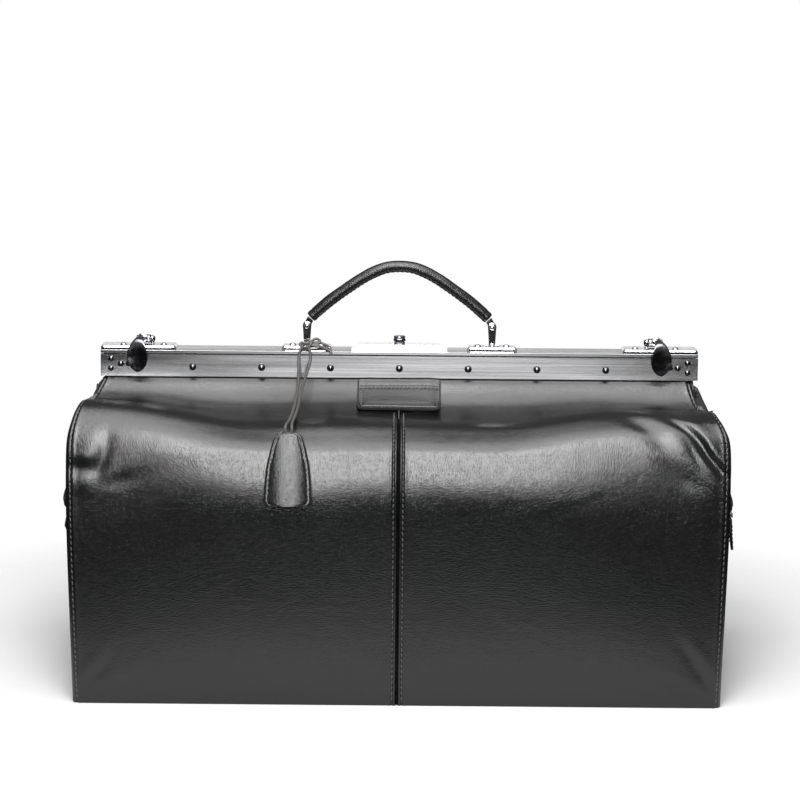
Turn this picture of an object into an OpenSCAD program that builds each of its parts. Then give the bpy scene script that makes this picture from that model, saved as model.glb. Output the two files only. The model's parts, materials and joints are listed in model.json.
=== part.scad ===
// Framed doctor bag: a soft leather body hung from a steel two-jaw frame, with a
// carrying handle on swinging links, a push-button lock, end clasps, end zips and a key bell.
// Millimetres. +X is the bag's right, -Y its front, +Z up. The origin is the centre of the base.

/* [Body] */
// Depth of the base, front to back
base_depth = 230; // [210:2:240]
// Half the width of the front panel at the base
base_half = 243.5; // [230:0.5:250]
// Thickness of the leather walls
leather = 3; // [2:0.5:3.5]
// Height at which the firm walls end and the folding leather starts
shoulder_z = 188; // [184:1:190]

/* [Frame] */
// Length of the frame
frame_len = 460; // [456:1:462]
// Height of the frame's lower edge above the floor
frame_z = 233; // [232:0.5:234]
// Height of the frame's front face
face_h = 17; // [16:0.5:18]
// Half the depth of the closed frame
frame_y = 14; // [13.5:0.5:15]
// Height of the frame's hinge pins above the floor
pivot_z = 156; // [154:1:158]
// Distance between the studs on the frame
stud_pitch = 53; // [45:1:54]

/* [Handle] */
// Distance of each handle fitting from the middle
handle_x = 71.5; // [70:0.5:74]
// Radius of the leather grip
grip_r = 4.5; // [4:0.25:5]

/* [Hardware] */
// Distance of each clasp's hinge from the middle
clasp_x = 196.5; // [194:0.5:198]
// Outward turn of each clasp, in degrees
clasp_turn = 12; // [8:1:14]
// Travel of the lock's push button
press = 3; // [2:0.5:3]
// Height of the end zips
zip_z = 140; // [136:1:142]

/* [Key bell] */
// Place of the key bell across the front
bell_x = -81.75; // [-83:0.25:-77]
// Thickness of the lace
lace_d = 2.2; // [1.5:0.1:2.4]

/* [Hidden] */
$fn = 32;

// Gap kept between neighbouring leather pieces
gap = 0.3;
far = 400;
bar_top = frame_z + face_h;
cover_z = bar_top + 0.8;
cover_h = 2.4;
deck_z = cover_z + cover_h;
wall_t = 2;
clamp_end = 217;

// Side outline of the front leather, from the floor up over the shoulder to the frame
front_line = [
    [-base_depth/2, 0], [-118, 40], [-120, 80], [-121, 130], [-119.5, 165], [-115, shoulder_z],
    [-110, 197], [-101, 204], [-90, 209.5], [-76, 211], [-60, 209.5], [-46, 210],
    [-34, 214], [-24, 222], [-16, frame_z - 1.5]
];
// Edge of the front panel seen from the front, from the floor up
panel_edge = [
    [base_half, 0], [245, 60], [246.5, 120], [247, 165], [247, 190],
    [243, 205], [236, 215], [231, 223], [229, frame_z]
];
// Outline of the end gusset seen from the front, from the floor up
gusset_line = [
    [base_half, 0], [247, 60], [251, 120], [253, 160], [250.5, 190],
    [244, 207], [236, 215], [231, 223], [229.5, frame_z - 1.5]
];

function unit(v) = v / norm(v);
function reversed(p) = [for (i = [len(p) - 1:-1:0]) p[i]];
function mirrored(p) = [for (q = reversed(p)) [-q[0], q[1]]];
// Left-hand normal of an open 2D line at its point i
function side(p, i) =
    let (d = unit(p[min(i + 1, len(p) - 1)] - p[max(i - 1, 0)]))
    [-d[1], d[0]];
function shifted(p, t) = [for (i = [0:len(p) - 1]) p[i] + t * side(p, i)];
// Closed strip of thickness t to the left of an open line
function strip(p, t) = concat(p, reversed(shifted(p, t)));

// A Y-Z outline drawn out along X
module along_x(points, x0, x1) {
    translate([x0, 0, 0]) rotate([90, 0, 90]) linear_extrude(x1 - x0) polygon(points);
}

// An X-Z outline drawn out along Y
module along_y(points, y0, y1) {
    translate([0, y1, 0]) rotate([90, 0, 0]) linear_extrude(y1 - y0) polygon(points);
}

module block(low, high) {
    translate(low) cube(high - low);
}

module layer(z0, z1) {
    block([-far, -far, z0], [far, far, z1]);
}

module on_both_sides() {
    children();
    mirror([1, 0, 0]) children();
}

// Solid of everything inside the front and rear leather
module inside() {
    inner = shifted(front_line, -(leather + gap));
    low = [[inner[0][0], -1]];
    along_x(concat(low, inner, mirrored(inner), mirrored(low)), -far, far);
}

// Ring of points round p, square to direction t
function ring(p, t, r, n, up) =
    let (a = unit(cross(t, up)), b = cross(a, t))
    [for (k = [0:n - 1]) p + r * (cos(360 * k / n) * a + sin(360 * k / n) * b)];
function heading(p, i) = unit(p[min(i + 1, len(p) - 1)] - p[max(i - 1, 0)]);
function flat(rows) = [for (row = rows) for (q = row) q];
function side_faces(rings, n, wrap) = [
    for (i = [0:rings - (wrap ? 1 : 2)], k = [0:n - 1])
        let (j = (i + 1) % rings, m = (k + 1) % n)
        [i * n + k, i * n + m, j * n + m, j * n + k]
];

// Round tube of radius r along a route; up is a direction that the route never takes
module tube(route, r, n, up) {
    last = len(route) - 1;
    rings = [for (i = [0:last]) ring(route[i], heading(route, i), r, n, up)];
    caps = [[for (k = [n - 1:-1:0]) k], [for (k = [0:n - 1]) last * n + k]];
    polyhedron(flat(rings), concat(side_faces(last + 1, n, false), caps));
}

// The same tube with a bore of radius inner all the way through
module hollow_tube(route, r, inner, n, up) {
    last = len(route) - 1;
    outside = [for (i = [0:last]) ring(route[i], heading(route, i), r, n, up)];
    bore = [for (i = [last:-1:0]) ring(route[i], heading(route, i), inner, n, up)];
    polyhedron(flat(concat(outside, bore)), side_faces(2 * (last + 1), n, true));
}

// Domed rivet head standing on z = 0
module dome(r, h) {
    rise = h * 0.75;
    rotate_extrude() polygon(concat(
        [[0, 0], [r, 0]],
        [for (a = [0:15:75]) [r * cos(a), h - rise + rise * sin(a)]],
        [[0, h]]
    ));
}

// Flat plate with round corners and a slightly smaller top
module crowned_plate(x0, x1, y0, y1, r, h) {
    edge = 1.2;
    hull() for (x = [x0 + r, x1 - r], y = [y0 + r, y1 - r]) {
        translate([x, y, 0]) cylinder(r = r, h = h - edge);
        translate([x, y, 0]) cylinder(r = r - edge, h = h);
    }
}

// ---------------------------------------------------------------- leather body

module base_panel() {
    color([0.06, 0.06, 0.07])
        block([-base_half + 4, -base_depth/2 + 3.6, 0], [base_half - 4, base_depth/2 - 3.6, 3]);
}

module base_board() {
    color([0.35, 0.28, 0.2]) block([-236, -109, 3.2], [236, 109, 6]);
}

module lining() {
    color([0.3, 0.3, 0.32]) difference() {
        block([-237, -110, 6.2], [237, 110, 180]);
        block([-236, -109, 7.2], [236, 109, 181]);
        translate([-far, 0, pivot_z]) rotate([0, 90, 0]) cylinder(r = 7, h = 2 * far);
    }
}

// Right-hand half of the front leather
module front_half() {
    outline = concat([[0.1, 0]], panel_edge, [[0.1, frame_z]]);
    intersection() {
        along_x(strip(front_line, -leather), 0, far);
        along_y(outline, -far, 0);
    }
}

module front_wall_right() {
    color([0.08, 0.08, 0.09]) intersection() {
        front_half();
        layer(0, shoulder_z);
    }
}

module front_top_right() {
    color([0.1, 0.1, 0.11]) intersection() {
        front_half();
        layer(shoulder_z + gap, frame_z);
    }
}

module front_wall_left() {
    mirror([1, 0, 0]) front_wall_right();
}

module front_top_left() {
    mirror([1, 0, 0]) front_top_right();
}

module rear_wall_left() {
    mirror([0, 1, 0]) front_wall_left();
}

module rear_wall_right() {
    mirror([0, 1, 0]) front_wall_right();
}

module rear_top_left() {
    mirror([0, 1, 0]) front_top_left();
}

module rear_top_right() {
    mirror([0, 1, 0]) front_top_right();
}

// Band of the right-hand end gusset between two heights
module gusset_band(z0, z1) {
    color([0.09, 0.09, 0.1]) intersection() {
        along_y(strip(gusset_line, leather), -far, far);
        inside();
        layer(z0, z1);
    }
}

module gusset_right() {
    gusset_band(0, zip_z - 6);
    difference() {
        gusset_band(zip_z - 6.1, zip_z + 7 - gap);
        block([0, -zip_half, 0], [far, zip_half, far]);
    }
}

module zip_lip_right() {
    gusset_band(zip_z + 7, shoulder_z);
}

module gusset_top_right_front() {
    intersection() {
        gusset_band(shoulder_z + gap, frame_z);
        block([0, -far, 0], [far, -gap, far]);
    }
}

module gusset_top_right_rear() {
    mirror([0, 1, 0]) gusset_top_right_front();
}

module gusset_left() {
    mirror([1, 0, 0]) gusset_right();
}

module zip_lip_left() {
    mirror([1, 0, 0]) zip_lip_right();
}

module gusset_top_left_front() {
    mirror([1, 0, 0]) gusset_top_right_front();
}

module gusset_top_left_rear() {
    mirror([1, 0, 0]) gusset_top_right_rear();
}

// ---------------------------------------------------------------- end zips

// Half the length of the zip's opening
zip_half = 90;
// Inner face of the zip tape
tape_x = 246.9;
slider_y = -60;
puller_pivot = [253.2, slider_y, zip_z - 3];

module zip_right() {
    color([0.12, 0.12, 0.13]) {
        block([tape_x, -100, zip_z - 12], [tape_x + 1.5, 100, zip_z + 13]);
        block([tape_x + 1.4, -86, zip_z - 0.6], [tape_x + 3, 86, zip_z + 0.6]);
        for (y = [-84:3:84])
            block([tape_x + 1.4, y - 0.8, zip_z - 1.6], [tape_x + 3.2, y + 0.8, zip_z + 1.6]);
    }
}

module zip_slider_right() {
    pin = puller_pivot;
    color([0.75, 0.75, 0.77]) difference() {
        union() {
            block([250.4, slider_y - 4.5, zip_z - 4], [252, slider_y + 4.5, zip_z + 4]);
            for (y = [-2.9, 1.7])
                block([251.9, slider_y + y, zip_z - 4.5], [254.6, slider_y + y + 1.2, zip_z - 1]);
        }
        translate([pin[0], slider_y - 5, pin[2]]) rotate([-90, 0, 0]) cylinder(r = 0.85, h = 10);
    }
}

module zip_puller_right() {
    color([0.1, 0.1, 0.11]) translate(puller_pivot) rotate([0, -4, 0]) {
        rotate([90, 0, 0]) cylinder(r = 0.8, h = 5.4, center = true);
        rotate([90, 0, 0]) cylinder(r = 1, h = 3, center = true);
        block([-0.7, -1.3, -4], [0.7, 1.3, -0.5]);
        block([-1.1, -3.5, -27], [1.1, 3.5, -3.5]);
    }
}

module zip_left() {
    rotate([0, 0, 180]) zip_right();
}

module zip_slider_left() {
    rotate([0, 0, 180]) zip_slider_right();
}

module zip_puller_left() {
    rotate([0, 0, 180]) zip_puller_right();
}

// ---------------------------------------------------------------- steel frame

pin_r = 2.5;
// Nearest face of the front arms' and the rear arms' eyes to the middle
front_arm_x = 222.3;
rear_arm_x = 220.2;
arm_t = 1.6;

module hinge_pins() {
    color([0.5, 0.5, 0.52]) on_both_sides() translate([0, 0, pivot_z]) rotate([0, 90, 0]) {
        translate([0, 0, 217.8]) cylinder(r = 4, h = 2);
        translate([0, 0, 219]) cylinder(r = pin_r, h = 6);
        translate([0, 0, 224.3]) cylinder(r = 4, h = 21);
        translate([-9, -14, 244.8]) cube([18, 28, 1.8]);
    }
}

stud_xs = [for (i = [-3:3]) i * stud_pitch];
stud_z = frame_z + 7.5;
end_rivets = [[222, frame_z + 13.5], [222, frame_z + 6], [214.5, frame_z + 9.5], [208.5, frame_z + 10]];

module at_studs() {
    for (x = stud_xs) translate([x, -frame_y, stud_z]) rotate([90, 0, 0]) children();
}

module at_end_rivets() {
    for (s = [-1, 1], p = end_rivets)
        translate([s * p[0], -frame_y, p[1]]) rotate([90, 0, 0]) children();
}

// Bar of the front jaw: a face plate, a top flange and two closed ends
module front_bar() {
    half = frame_len / 2;
    color([0.62, 0.62, 0.64]) difference() {
        union() {
            block([-half, -frame_y, frame_z], [half, -frame_y + wall_t, bar_top]);
            block([-half, -frame_y + 1, bar_top - wall_t], [half, -1, bar_top]);
            for (s = [0, 1]) mirror([s, 0, 0])
                block([half - wall_t, -frame_y + 1, frame_z], [half, -1, bar_top]);
        }
        at_studs() translate([0, 0, -4]) cylinder(r = 1.55, h = 8);
        at_end_rivets() translate([0, 0, -4]) cylinder(r = 1.25, h = 8);
    }
}

// Turned leather edge held inside the bar
module front_binding() {
    color([0.1, 0.1, 0.11]) difference() {
        block([-clamp_end, -frame_y + 2.2, frame_z + 0.6], [clamp_end, -frame_y + 4.9, bar_top - 3]);
        at_studs() translate([0, 0, -8]) cylinder(r = 1.55, h = 8);
        at_end_rivets() translate([0, 0, -8]) cylinder(r = 2, h = 8);
    }
}

// Steel strip that the studs pull against the leather
module front_clamp_strip() {
    color([0.45, 0.45, 0.47]) difference() {
        block([-clamp_end, -frame_y + 5.1, frame_z + 2], [clamp_end, -frame_y + 6.6, bar_top - 3]);
        at_studs() translate([0, 0, -8]) cylinder(r = 1.55, h = 8);
    }
}

module front_rivets() {
    color([0.85, 0.85, 0.87]) {
        at_studs() {
            dome(2.8, 3.3);
            translate([0, 0, -6.6]) cylinder(r = 1.5, h = 6.7);
            translate([0, 0, -7.4]) cylinder(r = 2.2, h = 0.8);
        }
        at_end_rivets() {
            dome(2.3, 1.8);
            translate([0, 0, -3]) cylinder(r = 1.2, h = 3.1);
        }
    }
}

// Arm from the end of a jaw down to its hinge pin, on the right-hand side
module arm(x) {
    top = bar_top - wall_t;
    difference() {
        translate([x, 0, 0]) rotate([90, 0, 90]) linear_extrude(arm_t) {
            polygon([[-10.5, top], [-3.5, top], [5, pivot_z + 2.5], [-5, pivot_z - 2.5]]);
            translate([0, pivot_z]) circle(5.6);
        }
        translate([x - 1, 0, pivot_z]) rotate([0, 90, 0]) cylinder(r = pin_r + 0.05, h = 4);
    }
    block([x - 1.5, -10.5, top - 1.6], [x + 4, -3.5, top]);
}

module front_arms() {
    color([0.5, 0.5, 0.52]) on_both_sides() arm(front_arm_x);
}

module rear_bar() {
    mirror([0, 1, 0]) front_bar();
}

module rear_binding() {
    mirror([0, 1, 0]) front_binding();
}

module rear_clamp_strip() {
    mirror([0, 1, 0]) front_clamp_strip();
}

module rear_rivets() {
    mirror([0, 1, 0]) front_rivets();
}

module rear_arms() {
    color([0.5, 0.5, 0.52]) mirror([0, 1, 0]) on_both_sides() arm(rear_arm_x);
}

// Flat cover over both bars, fixed to the front bar by a rib
module top_cover() {
    half = frame_len / 2;
    color([0.7, 0.7, 0.72]) difference() {
        union() {
            block([-half, -frame_y, cover_z], [half, frame_y, deck_z]);
            block([-half + 2, -10, bar_top], [half - 2, -3.5, cover_z + 0.1]);
        }
        block([-4.2, -4.2, bar_top - 1], [4.2, 8.5, deck_z + 1]);
        block([-7, 8, cover_z - 1], [7, frame_y + 1, deck_z + 1]);
    }
}

// ---------------------------------------------------------------- handle

link_low_z = deck_z + 3.8;
link_high_z = 271.5;
link_pin_r = 1.5;
link_bore_r = 1.55;

module handle_plates() {
    color([0.6, 0.6, 0.62]) on_both_sides() translate([handle_x, 0, deck_z]) {
        difference() {
            union() {
                difference() {
                    crowned_plate(-19.25, 19.25, -8, 8, 3, 3.2);
                    block([-5.5, -5.3, -1], [5.5, 5.3, 4]);
                }
                block([-2.6, -1.5, 0], [2.6, 1.5, 3.8]);
                translate([0, 1.5, 3.8]) rotate([90, 0, 0]) cylinder(r = 2.6, h = 3);
            }
            translate([0, 5, 3.8]) rotate([90, 0, 0]) cylinder(r = link_bore_r, h = 10);
        }
        for (x = [-11, 11]) translate([x, 0, 3.1]) dome(2.6, 1.5);
    }
}

// Swinging link: two tapered cheeks on two round-headed pins
module link(x) {
    span = link_high_z - link_low_z;
    color([0.78, 0.78, 0.8]) translate([x, 0, link_low_z]) {
        for (y = [-1.8, 3.2]) translate([0, y, 0]) rotate([90, 0, 0]) linear_extrude(1.4) {
            circle(2.4);
            translate([0, span]) circle(3.3);
            polygon([[-2.3, 0], [2.3, 0], [3.2, span], [-3.2, span]]);
        }
        for (z = [0, span]) translate([0, 0, z]) rotate([90, 0, 0]) {
            translate([0, 0, -3.1]) cylinder(r = link_pin_r, h = 6.2);
            translate([0, 0, 3.1]) dome(2.1, 1.6);
        }
    }
}

module link_left() {
    link(-handle_x);
}

module link_right() {
    link(handle_x);
}

// Centre line of the right-hand half of the grip, from its end to the middle
grip_half = [
    [68.5, 0, 278], [61, 0, 285], [54, 0, 291], [46, 0, 297], [37.5, 0, 303],
    [30, 0, 308], [21, 0, 313], [10.5, 0, 317], [0, 0, 318]
];
grip_route = concat(
    grip_half,
    [for (i = [len(grip_half) - 2:-1:0]) [-grip_half[i][0], 0, grip_half[i][2]]]
);
core_r = 2.2;

module handle_grip() {
    color([0.08, 0.08, 0.09]) hollow_tube(grip_route, grip_r, core_r + 0.15, 12, [0, 1, 0]);
}

module handle_core() {
    color([0.5, 0.5, 0.5]) tube(grip_route, core_r, 12, [0, 1, 0]);
}

module handle_tabs() {
    color([0.3, 0.3, 0.32]) on_both_sides() translate([handle_x, 1.5, link_high_z])
        rotate([90, 0, 0]) linear_extrude(3) difference() {
            union() {
                circle(2.9);
                polygon([[-2.8, 0], [2.8, 0.6], [-0.7, 7.3], [-4.7, 3.6]]);
            }
            circle(link_bore_r);
        }
}

// ---------------------------------------------------------------- lock

house_top = deck_z + 4.5;
dish_z = house_top - 1.5;
neck_r = 3.45;
head_z = dish_z + press + 1;
button_top = 264;
bolt_z = deck_z + 0.4;

module lock_housing() {
    color([0.8, 0.8, 0.82]) difference() {
        intersection() {
            along_x([[-9, deck_z], [9, deck_z], [9, deck_z + 1.4], [7.6, house_top],
                [-7.6, house_top], [-9, deck_z + 1.4]], -37, 37);
            along_y([[-37, deck_z], [37, deck_z], [37, deck_z + 0.6], [31, house_top],
                [-31, house_top], [-37, deck_z + 0.6]], -9, 9);
        }
        translate([0, 0, dish_z]) cylinder(r = 7, h = 5);
        translate([0, 0, deck_z - 1]) cylinder(r = neck_r + 0.05, h = 6);
        block([-4.2, -4.2, deck_z - 1], [4.2, 9.5, deck_z + 2.2]);
    }
}

module lock_button() {
    color([0.45, 0.45, 0.47]) difference() {
        rotate_extrude() polygon([
            [0, bolt_z + 1.5], [neck_r, bolt_z + 1.5], [neck_r, head_z], [4.7, head_z],
            [4.7, head_z + 1.2], [4.1, head_z + 2], [4.6, head_z + 2.9],
            [4.2, button_top], [0, button_top]
        ]);
        translate([0, 0, button_top - 4.5]) cylinder(r = 2, h = 5);
    }
}

module key_plug() {
    color([0.75, 0.7, 0.5]) difference() {
        translate([0, 0, button_top - 4.4]) cylinder(r = 1.95, h = 4.5);
        block([-1.4, -0.3, button_top - 3], [1.4, 0.3, button_top + 1]);
    }
}

module lock_spring() {
    turns = 3;
    wire = 0.35;
    rise = head_z - dish_z - 2 * wire - 0.1;
    coil = [for (a = [0:30:360 * turns])
        [4 * cos(a), 4 * sin(a), dish_z + wire + 0.05 + rise * a / (360 * turns)]];
    color([0.7, 0.7, 0.72]) tube(coil, wire, 8, [0, 0, 1]);
}

module lock_bolt() {
    color([0.6, 0.6, 0.62]) translate([0, 0, bolt_z]) {
        cylinder(r = 3.3, h = 1.5);
        block([-3, 0, 0], [3, 9.4, 1.5]);
    }
}

module lock_keeper() {
    color([0.6, 0.6, 0.62]) block([-5, 10, bar_top], [5, 11.5, bar_top + 6.5]);
}

// ---------------------------------------------------------------- clasps

clasp_y = 2;
clasp_z = deck_z + 6.8;
clasp_pin_r = 1.3;

// Places its children at the right-hand clasp's hinge
module at_clasp() {
    translate([clasp_x, clasp_y, clasp_z]) rotate([0, 0, clasp_turn]) children();
}

module clasp_plate_right() {
    color([0.6, 0.6, 0.62]) {
        difference() {
            union() {
                translate([0, 0, deck_z]) crowned_plate(172, frame_len/2, -13.6, 8.4, 3, 3.2);
                at_clasp() for (x = [-6.4, 4.8]) {
                    block([x, -2.6, -4.5], [x + 1.6, 2.6, 0]);
                    translate([x, 0, 0]) rotate([0, 90, 0]) cylinder(r = 2.6, h = 1.6);
                }
            }
            at_clasp() translate([-10, 0, 0]) rotate([0, 90, 0])
                cylinder(r = clasp_pin_r + 0.05, h = 20);
        }
        for (x = [182, 213]) translate([x, -5, deck_z + 3.1]) dome(2.4, 1.5);
    }
}

module clasp_plate_left() {
    mirror([1, 0, 0]) clasp_plate_right();
}

module clasp_pins() {
    color([0.8, 0.8, 0.82]) on_both_sides() at_clasp() rotate([0, 90, 0]) {
        translate([0, 0, -6.6]) cylinder(r = clasp_pin_r, h = 13.2);
        translate([0, 0, 6.5]) cylinder(r = 2.1, h = 0.7);
        translate([0, 0, -7.2]) cylinder(r = 2.1, h = 0.7);
    }
}

// Side line of the lever's outer face, from the hinge over the top and down in front
lever_line = [
    [1, 3], [-8, 2.6], [-16, 1.6], [-20.6, -1.2], [-22.4, -6], [-22.6, -12], [-21.9, -18], [-22.6, -22]
];
// Half the front outline of the lever, from its tip up to the hinge
lever_half = [[2.5, -22.6], [5.5, -20.5], [7.6, -16], [8, -11], [6.6, -5], [4.4, -1], [4.2, 4]];

module clasp_lever_right() {
    color([0.4, 0.4, 0.42]) at_clasp() difference() {
        union() {
            intersection() {
                along_x(strip(lever_line, 1.8), -10, 10);
                along_y(concat(lever_half, mirrored(lever_half)), -30, 10);
            }
            translate([-4.2, 0, 0]) rotate([0, 90, 0]) cylinder(r = 3.1, h = 8.4);
        }
        translate([-10, 0, 0]) rotate([0, 90, 0]) cylinder(r = clasp_pin_r + 0.05, h = 20);
    }
}

module clasp_lever_left() {
    mirror([1, 0, 0]) clasp_lever_right();
}

// ---------------------------------------------------------------- patch, lace, bell and key

// Stiff leather patch lying on the slope under the frame
module leather_patch() {
    slope = [[-41.5, 215], [-35, 217.4], [-26, 224.6], [-18.6, frame_z - 1.2]];
    color([0.12, 0.12, 0.13]) intersection() {
        along_x(strip(slope, -1.8), -32, 32);
        along_y([[-28.5, 210], [28.5, 210], [32, 214], [32, 240], [-32, 240], [-32, 214]], -60, 0);
    }
}

// Half the lace's route, from the frame's edge over the shoulder to the bell
lace_half = [
    [-4.4, -16.4, 249.5], [-4.3, -18.5, 245.5], [-3.2, -28, 239], [-1.6, -46, 229.5],
    [-1.45, -66, 220.5], [-1.4, -84, 215.6], [-1.5, -98, 214], [-1.9, -108, 213.3],
    [-2.3, -112.8, 212], [-2.5, -114, 209.6], [-1.9, -114, 207.2], [0, -114, 206.1]
];
// Sideways run of the lace between the bell and the frame's edge
lace_run = 9;
function lace_point(p, s) = [bell_x + lace_run * (p[1] + 114) / 98 + s * p[0], p[1], p[2]];
lace_route = concat(
    [for (p = lace_half) lace_point(p, 1)],
    [for (i = [len(lace_half) - 2:-1:0]) lace_point(lace_half[i], -1)]
);
lace_up = [0, -0.4, 0.9];

module lace_strands() {
    color([0.1, 0.1, 0.1]) tube(lace_route, lace_d / 2, 8, lace_up);
}

module lace_knot() {
    knot_x = bell_x + lace_run;
    color([0.1, 0.1, 0.1]) {
        translate([knot_x, -11.4, deck_z + 3]) scale(3) sphere(1);
        for (s = [-1, 1]) tube([
            [knot_x + s, -11.4, deck_z + 3], [knot_x + 2.6 * s, -14.8, deck_z + 1.6],
            [knot_x + 4.3 * s, -16.4, deck_z - 1], [knot_x + 4.4 * s, -16.4, 250.7]
        ], lace_d / 2, 8, [1, 0, 0.2]);
    }
}

bell_top = 206.6;
bell_len = 53.5;
bell_lean = 15;

// Leather leaf of the bell in its own plane: narrow at the top, round-cornered at the mouth
module bell_leaf(len, thick) {
    hull() {
        translate([-8, 0, 0]) cube([16, thick, 1]);
        translate([-10.5, 0, -3]) cube([21, thick, 1]);
        translate([-15.4, 0, -22]) cube([30.8, thick, 1]);
        for (s = [-1, 1]) translate([s * 13.5, 0, 4 - len]) rotate([-90, 0, 0])
            cylinder(r = 4, h = thick);
    }
}

module at_bell(y, lean) {
    translate([bell_x, y, bell_top]) rotate([-lean, 0, 0]) children();
}

module bell_front() {
    color([0.09, 0.09, 0.1]) at_bell(-117.6, bell_lean + 2) bell_leaf(bell_len, 1.5);
}

module bell_back() {
    color([0.09, 0.09, 0.1]) at_bell(-112, bell_lean) bell_leaf(bell_len + 1.5, 1.5);
}

module bag_key() {
    color([0.75, 0.65, 0.35]) at_bell(-113.1, bell_lean + 1) {
        translate([0, -0.2, -9]) rotate([90, 0, 0]) difference() {
            cylinder(r = 5, h = 1.4);
            translate([0, 0, -1]) cylinder(r = 3, h = 4);
        }
        block([-1, -1.6, -32], [1, -0.2, -13.5]);
        block([0.5, -1.6, -31], [4, -0.2, -26]);
    }
}

base_panel();
base_board();
lining();
front_wall_left();
front_wall_right();
rear_wall_left();
rear_wall_right();
front_top_left();
front_top_right();
rear_top_left();
rear_top_right();
gusset_left();
gusset_right();
zip_lip_left();
zip_lip_right();
gusset_top_left_front();
gusset_top_left_rear();
gusset_top_right_front();
gusset_top_right_rear();
zip_left();
zip_right();
zip_slider_left();
zip_slider_right();
zip_puller_left();
zip_puller_right();
hinge_pins();
front_bar();
front_binding();
front_clamp_strip();
front_rivets();
front_arms();
rear_bar();
rear_binding();
rear_clamp_strip();
rear_rivets();
rear_arms();
top_cover();
handle_plates();
link_left();
link_right();
handle_tabs();
handle_core();
handle_grip();
lock_housing();
lock_button();
key_plug();
lock_spring();
lock_bolt();
lock_keeper();
clasp_plate_left();
clasp_plate_right();
clasp_pins();
clasp_lever_left();
clasp_lever_right();
leather_patch();
lace_knot();
lace_strands();
bell_front();
bell_back();
bag_key();
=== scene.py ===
import json
import math
import random

import bmesh
import bpy
import numpy as np
from mathutils import Matrix, Vector

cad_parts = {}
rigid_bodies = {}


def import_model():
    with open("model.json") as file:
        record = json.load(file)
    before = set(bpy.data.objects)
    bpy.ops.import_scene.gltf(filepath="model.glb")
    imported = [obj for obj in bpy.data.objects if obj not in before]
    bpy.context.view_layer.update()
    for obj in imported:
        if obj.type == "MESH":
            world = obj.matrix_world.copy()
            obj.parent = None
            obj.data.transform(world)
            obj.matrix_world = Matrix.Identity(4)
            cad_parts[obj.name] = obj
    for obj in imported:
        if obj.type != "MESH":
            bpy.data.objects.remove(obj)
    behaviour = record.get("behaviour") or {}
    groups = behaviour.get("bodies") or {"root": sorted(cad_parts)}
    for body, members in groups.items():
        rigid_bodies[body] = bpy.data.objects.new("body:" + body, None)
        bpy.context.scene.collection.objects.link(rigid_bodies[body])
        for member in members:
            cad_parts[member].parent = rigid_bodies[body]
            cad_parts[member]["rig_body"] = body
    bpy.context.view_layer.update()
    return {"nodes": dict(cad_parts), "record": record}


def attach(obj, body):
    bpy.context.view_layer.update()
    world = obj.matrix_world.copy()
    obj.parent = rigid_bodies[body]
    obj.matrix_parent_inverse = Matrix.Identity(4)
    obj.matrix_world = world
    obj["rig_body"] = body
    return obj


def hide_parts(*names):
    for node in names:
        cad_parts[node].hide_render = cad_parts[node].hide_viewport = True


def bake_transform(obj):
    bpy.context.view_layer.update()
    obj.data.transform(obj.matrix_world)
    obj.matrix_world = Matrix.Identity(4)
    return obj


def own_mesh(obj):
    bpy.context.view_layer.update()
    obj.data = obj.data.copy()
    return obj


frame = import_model()

MM = 0.001
rng = random.Random(11)
scene = bpy.context.scene
nodes = frame["nodes"]
# Names for the two walls, by whether it is the front one, and for the two ends, by the sign of x
PLACE = {True: "front", False: "rear"}
JAW = {True: "front_jaw", False: "rear_jaw"}
END = {-1: "left", 1: "right"}
FULL_TURN = 6.283

# ------------------------------------------------------------------ camera

TARGET = Vector((0.0, 0.0, 0.2136))
CAMERA_ELEVATION = math.radians(9.5)
CAMERA_DISTANCE = 2.5


def add_camera():
    data = bpy.data.cameras.new("camera")
    data.lens = 145
    data.sensor_width = 36
    data.shift_x = 0.00125
    data.clip_start = 0.01
    camera = bpy.data.objects.new("camera", data)
    scene.collection.objects.link(camera)
    away = Vector((0, -math.cos(CAMERA_ELEVATION), math.sin(CAMERA_ELEVATION)))
    eye = TARGET + CAMERA_DISTANCE * away
    turn = (TARGET - eye).to_track_quat("-Z", "Y").to_matrix().to_4x4()
    roll = Matrix.Rotation(math.radians(0.5), 4, "Z")
    camera.matrix_world = Matrix.Translation(eye) @ turn @ roll
    scene.camera = camera


add_camera()

# ------------------------------------------------------------------ materials


def new_material(name, color, roughness, metallic=0.0, specular=0.5):
    material = bpy.data.materials.new(name)
    material.use_nodes = True
    shader = material.node_tree.nodes["Principled BSDF"]
    shader.inputs["Base Color"].default_value = (*color, 1)
    shader.inputs["Roughness"].default_value = roughness
    shader.inputs["Metallic"].default_value = metallic
    shader.inputs["Specular IOR Level"].default_value = specular
    material.diffuse_color = (*color, 1)
    return material, material.node_tree, shader


def node(tree, kind, **values):
    made = tree.nodes.new(kind)
    for key, value in values.items():
        if key in made.inputs:
            made.inputs[key].default_value = value
        else:
            setattr(made, key, value)
    return made


def coordinates(tree, stretch=(1, 1, 1)):
    where = node(tree, "ShaderNodeTexCoord")
    scale = node(tree, "ShaderNodeMapping")
    scale.inputs["Scale"].default_value = stretch
    tree.links.new(where.outputs["Object"], scale.inputs["Vector"])
    return scale.outputs["Vector"]


def noise(tree, vector, scale, detail=3.0, roughness=0.5, distortion=0.0):
    made = node(tree, "ShaderNodeTexNoise", Scale=scale, Detail=detail,
                Roughness=roughness, Distortion=distortion)
    tree.links.new(vector, made.inputs["Vector"])
    return made.outputs["Fac"]


def remap(tree, value, low, high, to_low, to_high):
    made = node(tree, "ShaderNodeMapRange")
    names = ("From Min", "From Max", "To Min", "To Max")
    for key, number in zip(names, (low, high, to_low, to_high)):
        made.inputs[key].default_value = number
    tree.links.new(value, made.inputs["Value"])
    return made.outputs["Result"]


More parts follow.
